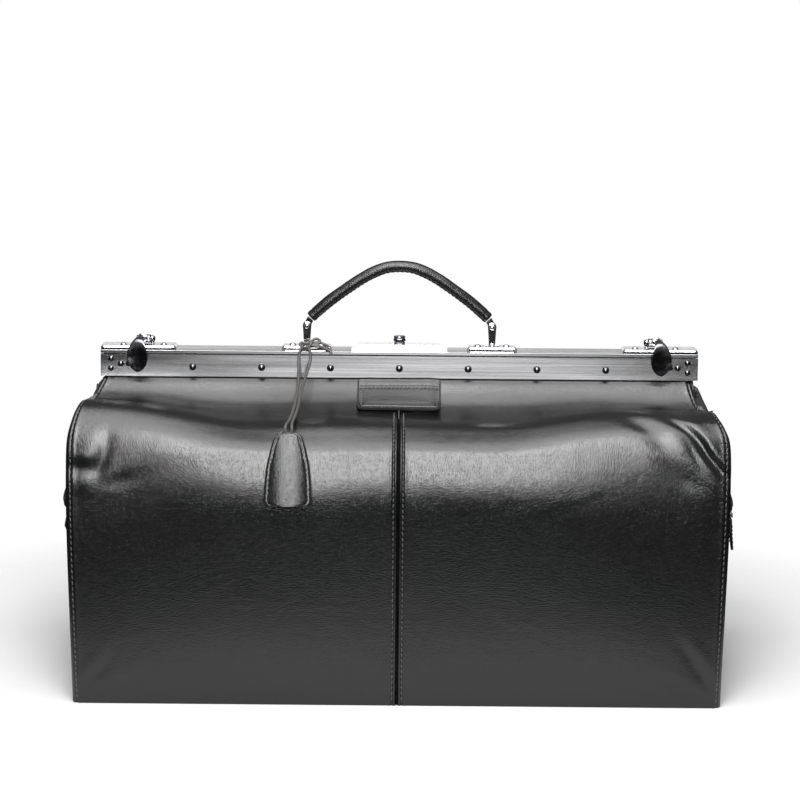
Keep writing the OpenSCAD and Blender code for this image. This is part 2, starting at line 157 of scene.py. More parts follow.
def maths(tree, operation, a, b):
    made = node(tree, "ShaderNodeMath", operation=operation)
    for socket, value in zip(made.inputs, (a, b)):
        if isinstance(value, (int, float)):
            socket.default_value = value
        else:
            tree.links.new(value, socket)
    return made.outputs["Value"]


def bump(tree, shader, layers):
    """Chains (height, strength, distance in metres) layers into the shader's normal."""
    normal = None
    for height, strength, distance in layers:
        made = node(tree, "ShaderNodeBump", Strength=strength, Distance=distance)
        tree.links.new(height, made.inputs["Height"])
        if normal is not None:
            tree.links.new(normal, made.inputs["Normal"])
        normal = made.outputs["Normal"]
    tree.links.new(normal, shader.inputs["Normal"])


def tint(tree, shader, color, factor):
    """The shader's colour becomes color times a varying factor."""
    shade = node(tree, "ShaderNodeVectorMath", operation="SCALE")
    shade.inputs[0].default_value = color
    tree.links.new(factor, shade.inputs["Scale"])
    tree.links.new(shade.outputs["Vector"], shader.inputs["Base Color"])


def leather(name, color, roughness, pebble=620.0, relief=0.00008, wrinkles=0.0009):
    material, tree, shader = new_material(name, color, roughness)
    vector = coordinates(tree)
    warp = node(tree, "ShaderNodeTexNoise", Scale=260.0, Detail=2.0)
    tree.links.new(vector, warp.inputs["Vector"])
    mixed = node(tree, "ShaderNodeVectorMath", operation="MULTIPLY_ADD")
    tree.links.new(warp.outputs["Color"], mixed.inputs[0])
    mixed.inputs[1].default_value = (0.0022, 0.0022, 0.0022)
    tree.links.new(vector, mixed.inputs[2])
    cells = node(tree, "ShaderNodeTexVoronoi", feature="DISTANCE_TO_EDGE", Scale=pebble)
    tree.links.new(mixed.outputs["Vector"], cells.inputs["Vector"])
    pebbles = remap(tree, cells.outputs["Distance"], 0.0, 0.32, 0.0, 1.0)
    pores = noise(tree, vector, 2600.0, 2.0)
    folds = noise(tree, vector, 34.0, 5.0, 0.55, 0.6)
    patches = noise(tree, vector, 75.0, 3.0)
    tree.links.new(remap(tree, patches, 0.3, 0.7, roughness - 0.012, roughness + 0.015),
                   shader.inputs["Roughness"])
    tint(tree, shader, color, remap(tree, folds, 0.3, 0.7, 0.82, 1.18))
    bump(tree, shader, [(folds, 0.5, wrinkles), (pebbles, 0.8, relief), (pores, 0.35, 0.00002)])
    return material


def brushed(name, color, roughness, stretch, strength):
    material, tree, shader = new_material(name, color, roughness, metallic=1.0)
    lines = noise(tree, coordinates(tree, stretch), 1.0, 3.0, 0.6)
    broad = noise(tree, coordinates(tree, (6, 160, 160)), 1.0, 3.0)
    streak = noise(tree, coordinates(tree, (5, 1100, 1100)), 1.0, 2.0)
    tint(tree, shader, color, remap(tree, streak, 0.3, 0.7, 0.82, 1.1))
    tree.links.new(remap(tree, broad, 0.3, 0.7, roughness - 0.05, roughness + 0.07),
                   shader.inputs["Roughness"])
    bump(tree, shader, [(lines, strength, 0.000012)])
    return material


def polished(name, color, roughness):
    material, tree, shader = new_material(name, color, roughness, metallic=1.0)
    vector = coordinates(tree)
    wear = noise(tree, vector, 260.0, 4.0)
    tree.links.new(remap(tree, wear, 0.3, 0.7, roughness * 0.7, roughness * 1.5),
                   shader.inputs["Roughness"])
    bump(tree, shader, [(noise(tree, vector, 150.0, 2.0), 0.3, 0.00002)])
    return material


def woven(name, color, roughness, pitch, relief):
    material, tree, shader = new_material(name, color, roughness, specular=0.25)
    vector = coordinates(tree)
    split = node(tree, "ShaderNodeSeparateXYZ")
    tree.links.new(vector, split.inputs["Vector"])
    across = maths(tree, "ADD", split.outputs["X"], split.outputs["Y"])
    slant = maths(tree, "ADD", across, split.outputs["Z"])
    wave = maths(tree, "SINE", maths(tree, "MULTIPLY", slant, pitch * FULL_TURN / 2), 0.0)
    other = maths(tree, "SUBTRACT", split.outputs["Z"], across)
    other = maths(tree, "SINE", maths(tree, "MULTIPLY", other, pitch * FULL_TURN / 3), 0.0)
    cloth = maths(tree, "MULTIPLY", wave, other)
    fuzz = noise(tree, vector, 500.0, 3.0)
    tint(tree, shader, color, remap(tree, fuzz, 0.3, 0.7, 0.75, 1.25))
    bump(tree, shader, [(cloth, 0.5, relief), (fuzz, 0.4, 0.0002)])
    return material


def rough_board(name, color):
    material, tree, shader = new_material(name, color, 0.85, specular=0.2)
    vector = coordinates(tree)
    bump(tree, shader, [(noise(tree, vector, 700.0, 5.0), 0.5, 0.0003)])
    return material


SKIN = leather("leather_black", (0.003, 0.003, 0.0033), 0.25)
TRIM = leather("leather_trim", (0.004, 0.004, 0.0043), 0.26,
               pebble=800.0, relief=0.00009, wrinkles=0.0005)
EDGE = leather("leather_cut_edge", (0.016, 0.015, 0.0145), 0.55,
               pebble=1500.0, relief=0.00005, wrinkles=0.0004)
# Black thread with its colour raised to dark grey: painted highlight for the sheen of shiny stitches.
THREAD = woven("thread_black_painted_sheen", (0.075, 0.075, 0.078), 0.4, 2600.0, 0.00005)
LACE = leather("lace_leather", (0.05, 0.048, 0.046), 0.42,
               pebble=1800.0, relief=0.00005, wrinkles=0.0004)
LINING = woven("lining_twill", (0.075, 0.075, 0.08), 0.75, 700.0, 0.0002)
BOARD = rough_board("fibre_board", (0.22, 0.17, 0.12))
STEEL = brushed("brushed_steel", (0.62, 0.62, 0.63), 0.2, (10, 4500, 4500), 1.0)
BRIGHT = polished("polished_nickel", (0.86, 0.86, 0.87), 0.09)
DARK = polished("dark_gunmetal", (0.17, 0.17, 0.18), 0.16)
# Stud metal is darker than the frame's nickel: painted shade for the dark reflection and shadow on the stud
# bodies.
STUD = polished("stud_nickel_painted_shade", (0.11, 0.11, 0.115), 0.1)
PLATE = polished("plate_nickel", (0.62, 0.62, 0.64), 0.12)
INNER = brushed("plain_steel", (0.42, 0.42, 0.43), 0.38, (60, 400, 400), 0.6)
TAPE = woven("zip_tape", (0.02, 0.02, 0.021), 0.7, 1300.0, 0.00015)
BRASS = polished("worn_brass", (0.66, 0.52, 0.27), 0.24)

SLOT_LOOK = {
    "leather_smooth": SKIN, "leather_trim": TRIM, "lining_cloth": LINING, "board": BOARD,
    "frame_steel": STEEL, "bright_metal": BRIGHT, "dark_metal": DARK, "inner_steel": INNER,
    "zip_tape": TAPE, "brass_key": BRASS, "lace_cord": LACE,
}
node_slot = {part["node"]: part["material_slot"] for part in frame["record"]["subparts"]}
for name, obj in nodes.items():
    obj.data.materials.clear()
    obj.data.materials.append(SLOT_LOOK[node_slot[name]])

# ------------------------------------------------------------------ mesh tools


class Shape:
    """Collects vertices (in millimetres) and faces, then becomes one object."""

    def __init__(self):
        self.verts = []
        self.faces = []
        self.looks = []
        self.count = 0

    def add(self, verts, faces, look=0):
        """Adds vertices with their faces, and returns the number of the first vertex."""
        verts = np.asarray(verts, float).reshape(-1, 3)
        start = self.count
        self.verts.append(verts)
        self.count += len(verts)
        self.add_faces(start, faces, look)
        return start

    def add_faces(self, start, faces, look):
        self.faces.extend([tuple(i + start for i in face) for face in faces])
        self.looks.extend([look] * len(faces))

    def build(self, name, materials, sharp=50.0):
        mesh = bpy.data.meshes.new(name)
        mesh.from_pydata((np.concatenate(self.verts) * MM).tolist(), [], self.faces)
        for material in materials:
            mesh.materials.append(material)
        mesh.polygons.foreach_set("material_index", self.looks)
        mesh.polygons.foreach_set("use_smooth", [True] * len(self.faces))
        mesh.set_sharp_from_angle(angle=math.radians(sharp))
        mesh.update()
        made = bpy.data.objects.new(name, mesh)
        scene.collection.objects.link(made)
        return made


def hump(value, at, width):
    """Bell-shaped curve with height 1 at one place."""
    return np.exp(-((value - at) / width) ** 2)


def smoothstep(low, high, value):
    t = np.clip((value - low) / (high - low), 0, 1)
    return t * t * (3 - 2 * t)


def catmull(points, per):
    """Smooth curve through the points, with per steps in each span."""
    p = np.asarray(points, float)
    p = np.vstack([2 * p[0] - p[1], p, 2 * p[-1] - p[-2]])
    out = []
    for i in range(1, len(p) - 2):
        for t in np.arange(per) / per:
            out.append(0.5 * ((2 * p[i]) + (p[i + 1] - p[i - 1]) * t
                       + (2 * p[i - 1] - 5 * p[i] + 4 * p[i + 1] - p[i + 2]) * t * t
                       + (3 * p[i] - 3 * p[i + 1] + p[i + 2] - p[i - 1]) * t ** 3))
    out.append(p[-2])
    return np.array(out)


def lengths(path):
    return np.concatenate([[0], np.cumsum(np.linalg.norm(np.diff(path, axis=0), axis=1))])


def unit(v):
    v = np.asarray(v, float)
    return v / np.maximum(np.linalg.norm(v, axis=-1, keepdims=True), 1e-12)


def quads(rows, cols, wrap=False, skip=None):
    faces = []
    for r in range(rows - 1):
        for c in range(cols if wrap else cols - 1):
            if skip is not None and skip[r, c]:
                continue
            d = (c + 1) % cols
            faces.append((r * cols + c, r * cols + d, (r + 1) * cols + d, (r + 1) * cols + c))
    return faces


def turned_over(faces):
    return [face[::-1] for face in faces]


def closed_faces(rows, sides):
    """Faces of a row of rings: its sides and both ends."""
    last = (rows - 1) * sides
    ends = [tuple(range(sides))[::-1], tuple(last + i for i in range(sides))]
    return quads(rows, sides, wrap=True) + ends


def grid_normals(points, flip=False):
    by_row = np.gradient(points, axis=0)
    by_col = np.gradient(points, axis=1)
    normal = unit(np.cross(by_col, by_row))
    return -normal if flip else normal


def slab(shape, points, thickness, flip=False, skip=None, looks=(0, 1, 2)):
    """Adds a sheet of leather or cloth: an outer grid, an inner grid and closed edges."""
    rows, cols, _ = points.shape
    inner = points - grid_normals(points, flip) * thickness
    faces = quads(rows, cols, skip=skip)
    if flip:
        faces = turned_over(faces)
    count = rows * cols
    edges = {}
    for f in faces:
        for a, b in zip(f, f[1:] + f[:1]):
            edges[(a, b)] = True
    rim = [(b, a, a + count, b + count) for a, b in edges if (b, a) not in edges]
    verts = np.concatenate([points.reshape(-1, 3), inner.reshape(-1, 3)])
    used = sorted({i for f in faces for i in f})
    used += [i + count for i in used]
    renumber = {i: k for k, i in enumerate(used)}
    start = shape.add(verts[used], [tuple(renumber[i] for i in f) for f in faces], looks[0])
    shape.add_faces(start, [tuple(renumber[i + count] for i in f[::-1]) for f in faces], looks[1])
    shape.add_faces(start, [tuple(renumber[i] for i in f) for f in rim], looks[2])


def turn_angles(steps):
    return np.arange(steps) / steps * 2 * math.pi


def frames_along(path, up):
    """Side and top vectors along a path, carried smoothly from the first one."""
    tangent = unit(np.gradient(path, axis=0))
    side = np.zeros_like(path)
    top = np.zeros_like(path)
    guide = np.asarray(up, float)
    for i, t in enumerate(tangent):
        s = unit(np.cross(t, guide))
        guide = np.cross(s, t)
        side[i] = s
        top[i] = guide
    return side, top


def rings_along(path, sides, up):
    """Unit circles across a path, as an array (points, sides, 3)."""
    side, top = frames_along(path, up)
    angle = turn_angles(sides)
    return (np.cos(angle)[None, :, None] * side[:, None, :]
            + np.sin(angle)[None, :, None] * top[:, None, :])


def tube(shape, path, radius, sides, up):
    path = np.asarray(path, float)
    verts = path[:, None, :] + rings_along(path, sides, up) * radius
    shape.add(verts, turned_over(closed_faces(len(path), sides)))


def moved(points, place):
    """Points carried by a 4x4 matrix."""
    place = np.array(place)
    return np.asarray(points, float) @ place[:3, :3].T + place[:3, 3]


def lathe(shape, profile, place, steps):
    """Adds a turned solid: profile is (radius, height) from the bottom up, place a 4x4 matrix."""
    rows = [[(r * math.cos(a), r * math.sin(a), z) for a in turn_angles(steps)] for r, z in profile]
    verts = moved(np.array(rows).reshape(-1, 3), place)
    shape.add(verts, closed_faces(len(profile), steps))


# Place along a stitch, as a share of its length, and thickness there
STITCH = [(-0.5, 0.0), (-0.44, 0.62), (-0.28, 0.95), (0.0, 1.0),
          (0.28, 0.95), (0.44, 0.62), (0.5, 0.0)]
STITCH_SIDES = 6


def stitch(shape, centre, along, normal, length, radius, look):
    """Adds one thread stitch, highest in its middle and sinking into the leather at its ends."""
    along = unit(along)
    normal = unit(normal - along * np.dot(normal, along))
    cross = np.cross(along, normal)
    length *= rng.uniform(0.94, 1.05)
    verts = []
    for t, k in STITCH:
        middle = centre + along * t * length + normal * radius * (0.7 - 4.4 * t * t)
        for a in turn_angles(STITCH_SIDES):
            out = math.cos(a) * cross + math.sin(a) * normal
            verts.append(middle + out * radius * max(k, 0.12))
    shape.add(verts, closed_faces(len(STITCH), STITCH_SIDES), look)


def stitch_line(shape, points, normals, pitch, length, radius, slant=0.0, look=0):
    """Adds a row of stitches along a line, each at its own small angle."""
    points = np.asarray(points, float)
    normals = np.asarray(normals, float)
    run = lengths(points)
    count = max(1, int(run[-1] / pitch))
    step = run[-1] / count

    def along_line(values, at):
        return np.array([np.interp(at, run, values[:, k]) for k in range(3)])

    for i in range(count):
        at = (i + 0.5) * step
        centre = along_line(points, at)
        normal = unit(along_line(normals, at))
        along = unit(along_line(points, min(at + 1, run[-1])) - along_line(points, max(at - 1, 0)))
        cross = np.cross(normal, along)
        angle = slant + math.radians(rng.uniform(-4, 4))
        along = along * math.cos(angle) + cross * math.sin(angle)
        stitch(shape, centre, along, normal, length, radius, look)


SHARP_ANGLE = math.radians(28)


def bevelled(name, width, material, segments):
    """Copy of a CAD node with its sharp edges rounded off, shown in place of the node."""
    mesh = nodes[name].data.copy()
    mesh.name = name + "_rounded"
    bm = bmesh.new()
    bm.from_mesh(mesh)
    bmesh.ops.remove_doubles(bm, verts=bm.verts, dist=1e-6)
    bmesh.ops.dissolve_limit(bm, angle_limit=math.radians(1.0), verts=bm.verts, edges=bm.edges)
    sharp = [e for e in bm.edges if len(e.link_faces) == 2 and e.calc_face_angle(0) > SHARP_ANGLE]
    bmesh.ops.bevel(bm, geom=sharp, offset=width * MM, offset_type="OFFSET", segments=segments,
                    profile=0.5, affect="EDGES", clamp_overlap=True)
    bmesh.ops.triangulate(bm, faces=[f for f in bm.faces if len(f.verts) > 4])
    bm.to_mesh(mesh)
    bm.free()
    mesh.materials.clear()
    mesh.materials.append(material)
    mesh.polygons.foreach_set("use_smooth", [True] * len(mesh.polygons))
    mesh.set_sharp_from_angle(angle=math.radians(50))
    made = bpy.data.objects.new(name + "_rounded", mesh)
    scene.collection.objects.link(made)
    weighted = made.modifiers.new("weighted", "WEIGHTED_NORMAL")
    weighted.keep_sharp = True
    weighted.weight = 80
    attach(made, nodes[name]["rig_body"])
    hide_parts(name)


# ------------------------------------------------------------------ lace

BELL_X = -81.75
LACE_RUN = 9.0  # how far the lace goes sideways between the bell and the knot
KNOT_X = BELL_X + LACE_RUN
# One strand from the frame to the bell: distance from the lace's middle, then y and z
LACE_HALF = [
    (-4.4, -16.4, 249.5), (-4.3, -18.5, 245.5), (-3.2, -28, 239), (-1.6, -46, 229.5),
    (-1.45, -66, 220.5), (-1.4, -84, 215.6), (-1.5, -98, 214), (-1.9, -108, 213.3),
    (-2.3, -112.8, 212), (-2.5, -114, 209.6), (-1.9, -114, 207.2), (0, -114, 206.1),
]
OVER_EDGE = [(-1.2, -9.0, 255.6), (-2.6, -12.6, 255.3), (-4.0, -15.4, 253.7)]


def lace_point(p, s):
    return (BELL_X + LACE_RUN * (p[1] + 114) / 98 + s * p[0], p[1], p[2])


def lace_path():
    down = [(KNOT_X + p[0], p[1], p[2]) for p in OVER_EDGE] + [lace_point(p, 1) for p in LACE_HALF]
    back = [lace_point(p, -1) for p in LACE_HALF[-2::-1]]
    back += [(KNOT_X - p[0], p[1], p[2]) for p in OVER_EDGE[::-1]]
    return catmull(down + back, 6)


def build_lace():
    path = lace_path()
    shape = Shape()
    tube(shape, path, 1.1, 12, up=(0, -0.4, 0.9))
    return shape.build("lace", [LACE]), path


lace, lace_route = build_lace()

# ------------------------------------------------------------------ leather body

# Depth from the middle and height of the leather, from the floor over the shoulder to the frame
LINE = np.array([
    (115, 0), (118, 40), (120, 80), (121, 130), (119.5, 165), (115, 188), (110, 197), (101, 204),
    (90, 209.5), (76, 211), (60, 209.5), (46, 210), (34, 214), (24, 222), (16.8, 230.4),
    (13.2, 232.3), (11.9, 233.2),
])
# Half-length of the leather, at the same places
HALF = {
    -1: [243.5, 244.3, 245.4, 246.6, 247, 247, 246.3, 243.8, 241, 240, 240, 239.5, 237.8, 234,
         229.8, 229, 229],
    1: [243.5, 244.3, 245.4, 246.6, 247, 247, 246, 243, 240, 238.5, 237.5, 235.5, 232.3, 228.5,
        226, 225.5, 225.5],
}
# Extra height of the shoulder's crest at the ends of the bag, at the same places
LIFT = {
    -1: [0, 0, 0, 0, 0, 2.5, 7, 11, 13, 13, 11.5, 8.5, 4.5, 1.2, 0, 0, 0],
    1: [0, 0, 0, 0, 0.5, 4.5, 8.5, 10, 10, 9, 6.5, 3.2, 1.0, 0, 0, 0, 0],
}
REAR_LIFT = 0.35  # share of that height at the rear
# Half-length of the bag at the middle of each end, by height
GUSSET_Z = [0, 30, 60, 120, 160, 190, 200, 207, 215, 223, 231.5]
GUSSET_X = {
    -1: [243.5, 245.4, 247, 251, 253, 249.5, 244, 239.5, 233.5, 229.6, 228],
    1: [243.5, 245.4, 247, 251, 253, 249, 241.5, 235, 229, 226.9, 226.9],
}

PER = 14  # steps between two places of LINE
fine_line = catmull(LINE, PER)
fine_run = lengths(fine_line)
TOP = fine_run[-1]
fine_tangent = unit(np.gradient(fine_line, axis=0))


def depth_at(s):
    return np.interp(s, fine_run, fine_line[:, 0])


def height_at(s):
    return np.interp(s, fine_run, fine_line[:, 1])


def table(values, s):
    smooth = catmull(np.array(values, float)[:, None], PER)[:, 0]
    return np.interp(s, fine_run, smooth)


def run_at(height):
    """Distance along the leather to the place where its wall has this height (up to the shoulder)."""
    rising = fine_line[:, 1] < 205
    return float(np.interp(height, fine_line[rising, 1], fine_run[rising]))


def fold(x, s, at, angle, length, width, depth):
    """One crease: a valley with a ridge on one side, fading out along its length."""
    a = math.radians(angle)
    along = (x - at[0]) * math.cos(a) + (s - at[1]) * math.sin(a)
    across = -(x - at[0]) * math.sin(a) + (s - at[1]) * math.cos(a)
    across = across + 0.9 * np.sin(along / length * 5.0)
    fade = np.exp(-(along / (0.5 * length)) ** 2)
    valley = -depth * hump(across, 0, width)
    ridge = 0.45 * depth * hump(across, 1.9 * width, 1.2 * width)
    return (valley + ridge) * fade


def swell(x, s, at, radius, height):
    return height * np.exp(-(((x - at[0]) / radius[0]) ** 2 + ((s - at[1]) / radius[1]) ** 2))


FRONT_FOLDS = [
    ((226, 193), -43, 48, 3.0, 3.0), ((221, 187), -48, 34, 1.9, 0.6), ((232, 197), -38, 30, 1.8, 0.5),
    ((188, 203), -35, 46, 6.5, 2.0), ((206, 178), -24, 44, 5.5, 0.8), ((212, 205), -30, 34, 2.6, 0.7),
    ((-237, 179), 4, 28, 4.6, 0.8), ((-220, 184), 76, 34, 5.0, 0.9), ((-205, 171), 18, 40, 5.0, 0.5),
    ((-196, 260), 20, 60, 7.0, 1.2), ((203, 258), -14, 60, 5.0, 1.5), ((150, 264), 8, 70, 9.0, 0.9),
    ((226, 30), -52, 46, 4.2, 1.3), ((214, 14), -28, 36, 3.6, 1.1), ((-228, 20), 52, 34, 3.8, 1.1),
    ((-214, 12), 24, 34, 4.0, 0.7),
    ((46, 200), 58, 40, 1.6, 0.32), ((58, 196), 52, 30, 1.4, 0.26), ((30, 206), 70, 26, 1.4, 0.22),
    ((-40, 268), 30, 60, 4.0, 0.5), ((96, 232), -8, 80, 8.0, 0.7), ((-130, 236), 10, 90, 9.0, 0.8),
    ((120, 150), 22, 80, 3.5, 0.22), ((-90, 120), -18, 90, 4.0, 0.2),
]
FRONT_SWELLS = [
    ((-233, 190), (12, 9), 1.4), ((-232, 168), (12, 8), 0.8), ((198, 190), (22, 13), 1.2),
    ((-158, 224), (55, 34), 4.2), ((-56, 192), (36, 20), -1.2), ((-60, 232), (50, 24), 2.0),
    ((224, 211), (14, 6), 1.4), ((-60, 215), (70, 22), 1.0), ((150, 214), (26, 20), -1.4),
    ((118, 214), (60, 20), 1.2), ((232, 176), (12, 20), 1.0), ((-150, 222), (60, 20), 1.1),
]
REAR_FOLDS = [
    ((-208, 202), 36, 58, 3.6, 1.6), ((-222, 188), 50, 40, 3.2, 1.2), ((214, 186), -10, 50, 4.4, 1.5),
    ((198, 208), 24, 52, 3.8, 1.2), ((-224, 24), 50, 44, 4.2, 1.1), ((226, 18), -50, 34, 4.0, 1.0),
    ((60, 204), -55, 44, 1.8, 0.3), ((-70, 262), 14, 80, 8.0, 0.9), ((140, 258), -12, 70, 8.0, 0.9),
    ((-120, 130), 24, 90, 4.0, 0.22), ((90, 110), -16, 90, 4.0, 0.2),
]
REAR_SWELLS = [((-205, 214), (26, 14), 1.2), ((60, 216), (70, 20), 1.0), ((222, 200), (16, 14), 1.4)]


def waves(seed):
    source = random.Random(seed)
    return [(source.uniform(0.35, 1.0), source.uniform(-1, 1) * FULL_TURN / source.uniform(95, 240),
             source.uniform(-1, 1) * FULL_TURN / source.uniform(80, 200), source.uniform(0, FULL_TURN))
            for _ in range(9)]


WAVES = {True: waves(3), False: waves(8)}
SEWN_IN = 3.6  # from the centre seam, and from the ends, to the thread


def relief(x, s, half, front):
    """Height of the leather above its plain line: bulge, waves, folds, centre seam and sewn edges."""
    u = np.abs(x) / half
    fade = smoothstep(0, 26, s) * smoothstep(0, 26, TOP - s)
    total = 1.6 * np.sin(np.clip(u, 0, 1) * math.pi)
    total = total * smoothstep(0, 60, s) * (1 - smoothstep(190, 235, s))
    soft = sum(a * np.cos(kx * x + ks * s + p) for a, kx, ks, p in WAVES[front])
    total = total + 0.34 * soft * fade * (0.5 + 0.8 * smoothstep(140, 215, s))
    sag = 1 - smoothstep(0.4, 0.85, u)
    total = total + sag * (1.7 * hump(s, 160, 27) - 3.0 * hump(s, 209, 25))
    for at, angle, length, width, depth in (FRONT_FOLDS if front else REAR_FOLDS):
        total = total + fold(x, s, at, angle, length, width, depth)
    for at, radius, height in (FRONT_SWELLS if front else REAR_SWELLS):
        total = total + swell(x, s, at, radius, height)
    a = np.abs(x)
    total = total - 1.9 * hump(a, 0, 0.75) + 0.7 * hump(a, 2.0, 0.85)
    total = total - 0.6 * hump(a, SEWN_IN, 0.7) + 0.3 * hump(a, 5.3, 1.1)
    t = half - a
    total = total - 3.4 * np.clip((5.2 - t) / 5.2, 0, 1) ** 2.2
    total = total - 0.6 * hump(t, SEWN_IN, 0.75) + 0.35 * hump(t, 5.6, 1.3)
    return total + 0.3 * hump(t, 1.9, 1.0)


def skin_points(x, s, side, front):
    """Points of the front or rear leather at x across and s along, as an array (..., 3)."""
    tangent_d = np.interp(s, fine_run, fine_tangent[:, 0])
    tangent_z = np.interp(s, fine_run, fine_tangent[:, 1])
    half = table(HALF[side], s)
    h = relief(x, s, half, front)
    u = np.clip(np.abs(x) / half, 0, 1)
    low, high = (0.3, 0.68) if side > 0 and front else (0.5, 1.0)
    lift = table(LIFT[side], s) * smoothstep(low, high, u) * (1.0 if front else REAR_LIFT)
    sway = 1.6 * np.sin(x / 61.0 + (0.4 if front else 2.0)) * hump(s, 222, 22)
    depth = depth_at(s) + h * tangent_z
    height = np.maximum(height_at(s) - h * tangent_d + lift + sway, 0.0)
    return np.stack([x, (-depth if front else depth), height], axis=-1)


def skin_columns(half, side):
    near = np.array([0.06, 0.35, 0.7, 1.1, 1.5, 1.9, 2.4, 2.9, 3.3, 3.6, 3.9, 4.3, 4.8, 5.4, 6.2, 7.5, 9.5])
    edge = np.array([0, 0.5, 1.0, 1.6, 2.2, 2.8, 3.3, 3.6, 3.9, 4.4, 5.0, 5.8, 6.8, 8.2, 10.0, 12.5])
    middle = np.concatenate([np.linspace(0, 0.6, 34)[1:], np.linspace(0.6, 1, 50)[1:-1]])
    rows = []
    for h in half:
        start, end = near[-1], h - edge[-1]
        rows.append(np.concatenate([near, start + (end - start) * middle, (h - edge)[::-1]]) * side)
    return np.array(rows)


def skin_rows():
    return np.concatenate([
        np.linspace(0, 160, 40)[:-1], np.linspace(160, 236, 52)[:-1], np.linspace(236, TOP, 30),
    ])


def skin_grid(side, front):
    s = skin_rows()
    x = skin_columns(table(HALF[side], s), side)
    run = np.repeat(s[:, None], x.shape[1], axis=1)
    return skin_points(x, run, side, front)


def bend(obj):
    """Bakes the object's placement into its mesh."""
    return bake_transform(obj)


def build_skins():
    for front in (True, False):
        for side in (-1, 1):
            place, end = PLACE[front], END[side]
            shape = Shape()
            slab(shape, skin_grid(side, front), 2.4, flip=(side > 0) != front)
            made = shape.build(f"{place}_leather_{end}", [SKIN, LINING, EDGE], 60)
            bend(made)
            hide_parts(f"{place}_wall_{end}", f"{place}_top_{end}")


def skin_line(xs, ss, side, front):
    """A line on the leather with its outward normals."""
    xs = np.asarray(xs, float)
    ss = np.asarray(ss, float)
    here = skin_points(xs, ss, side, front)
    dx = skin_points(xs + 0.5, ss, side, front) - skin_points(xs - 0.5, ss, side, front)
    ds = skin_points(xs, ss + 0.5, side, front) - skin_points(xs, ss - 0.5, side, front)
    normal = unit(np.cross(dx, ds))
    return here, normal if front else -normal


def build_skin_stitches():
    for front in (True, False):
        shape = Shape()
        ss = np.linspace(3, TOP - 6, 420)
        # The front's centre seam is sewn up to the patch
        seam = np.linspace(3, 272.0 if front else TOP - 8, 360)
        for side in (-1, 1):
            points, normals = skin_line(np.full(seam.shape, side * SEWN_IN), seam, side, front)
            stitch_line(shape, points, normals, 4.2, 3.15, 0.40, slant=side * 0.12)
            half = table(HALF[side], ss)
            points, normals = skin_line(side * (half - SEWN_IN), ss, side, front)
            stitch_line(shape, points, normals, 4.4, 3.2, 0.38, slant=-side * 0.14)
        made = shape.build(f"{PLACE[front]}_seam_stitches", [THREAD], 80)
        bend(made)


build_skins()
build_skin_stitches()

# ------------------------------------------------------------------ end gussets


GUSSET_INSET = 3.4  # gusset's edge behind the outside of the front and rear leather


def gusset_depth(s):
    return depth_at(s) - GUSSET_INSET


def gusset_points(s, v, side):
    """Points of an end gusset: s as on the side leather, v from -1 at the front to 1 at the rear."""
    lift = 0.92 * table(LIFT[side], s) * (1 - (1 - REAR_LIFT) * smoothstep(-0.2, 0.7, v))
    z_edge = height_at(s) + lift - smoothstep(186, 200, s)
    fold_low, fold_high = 188, 232.4
    z_mid = np.where(s < run_at(fold_low), height_at(s),
                     fold_low + (s - run_at(fold_low)) / (TOP - run_at(fold_low)) * (fold_high - fold_low))
    k = np.abs(v) ** 1.6
    z = z_mid + (z_edge - z_mid) * k
    half = table(HALF[side], s) - 1.6
    outer = np.interp(z_mid, GUSSET_Z, GUSSET_X[side])
    x = half + (outer - half) * (1 - np.abs(v) ** 3.2)
    y = v * gusset_depth(s)
    top = smoothstep(172, 205, z)
    room = np.maximum(x - 228.0, 0)
    pleat = np.minimum(4.6, room) * top * hump(y, 0, 8.0)
    ridge = 1.6 * top * (1 - smoothstep(204, 222, z)) * hump(np.abs(y), 20, 9.0)
    wave = 0.5 * np.cos(y / 17.0 + z / 31.0 + side) * np.sin(z / 23.0) * (1 - np.abs(v) ** 4)
    x = x - pleat + ridge + wave * smoothstep(0, 40, z) * (1 - 0.7 * hump(z, 140, 14))
    x = np.maximum(x, np.where((z > 150) & (np.abs(y) < 16), 226.9, 0))
    return np.stack([side * x, y, np.maximum(z, 0)], axis=-1)


ZIP_LOW, ZIP_HIGH, ZIP_HALF = 134.0, 147.0, 91.0


def gusset_grid(s_values, v_values, side):
    s = np.repeat(np.asarray(s_values)[:, None], len(v_values), axis=1)
    v = np.repeat(np.asarray(v_values)[None, :], len(s_values), axis=0)
    return gusset_points(s, v, side)


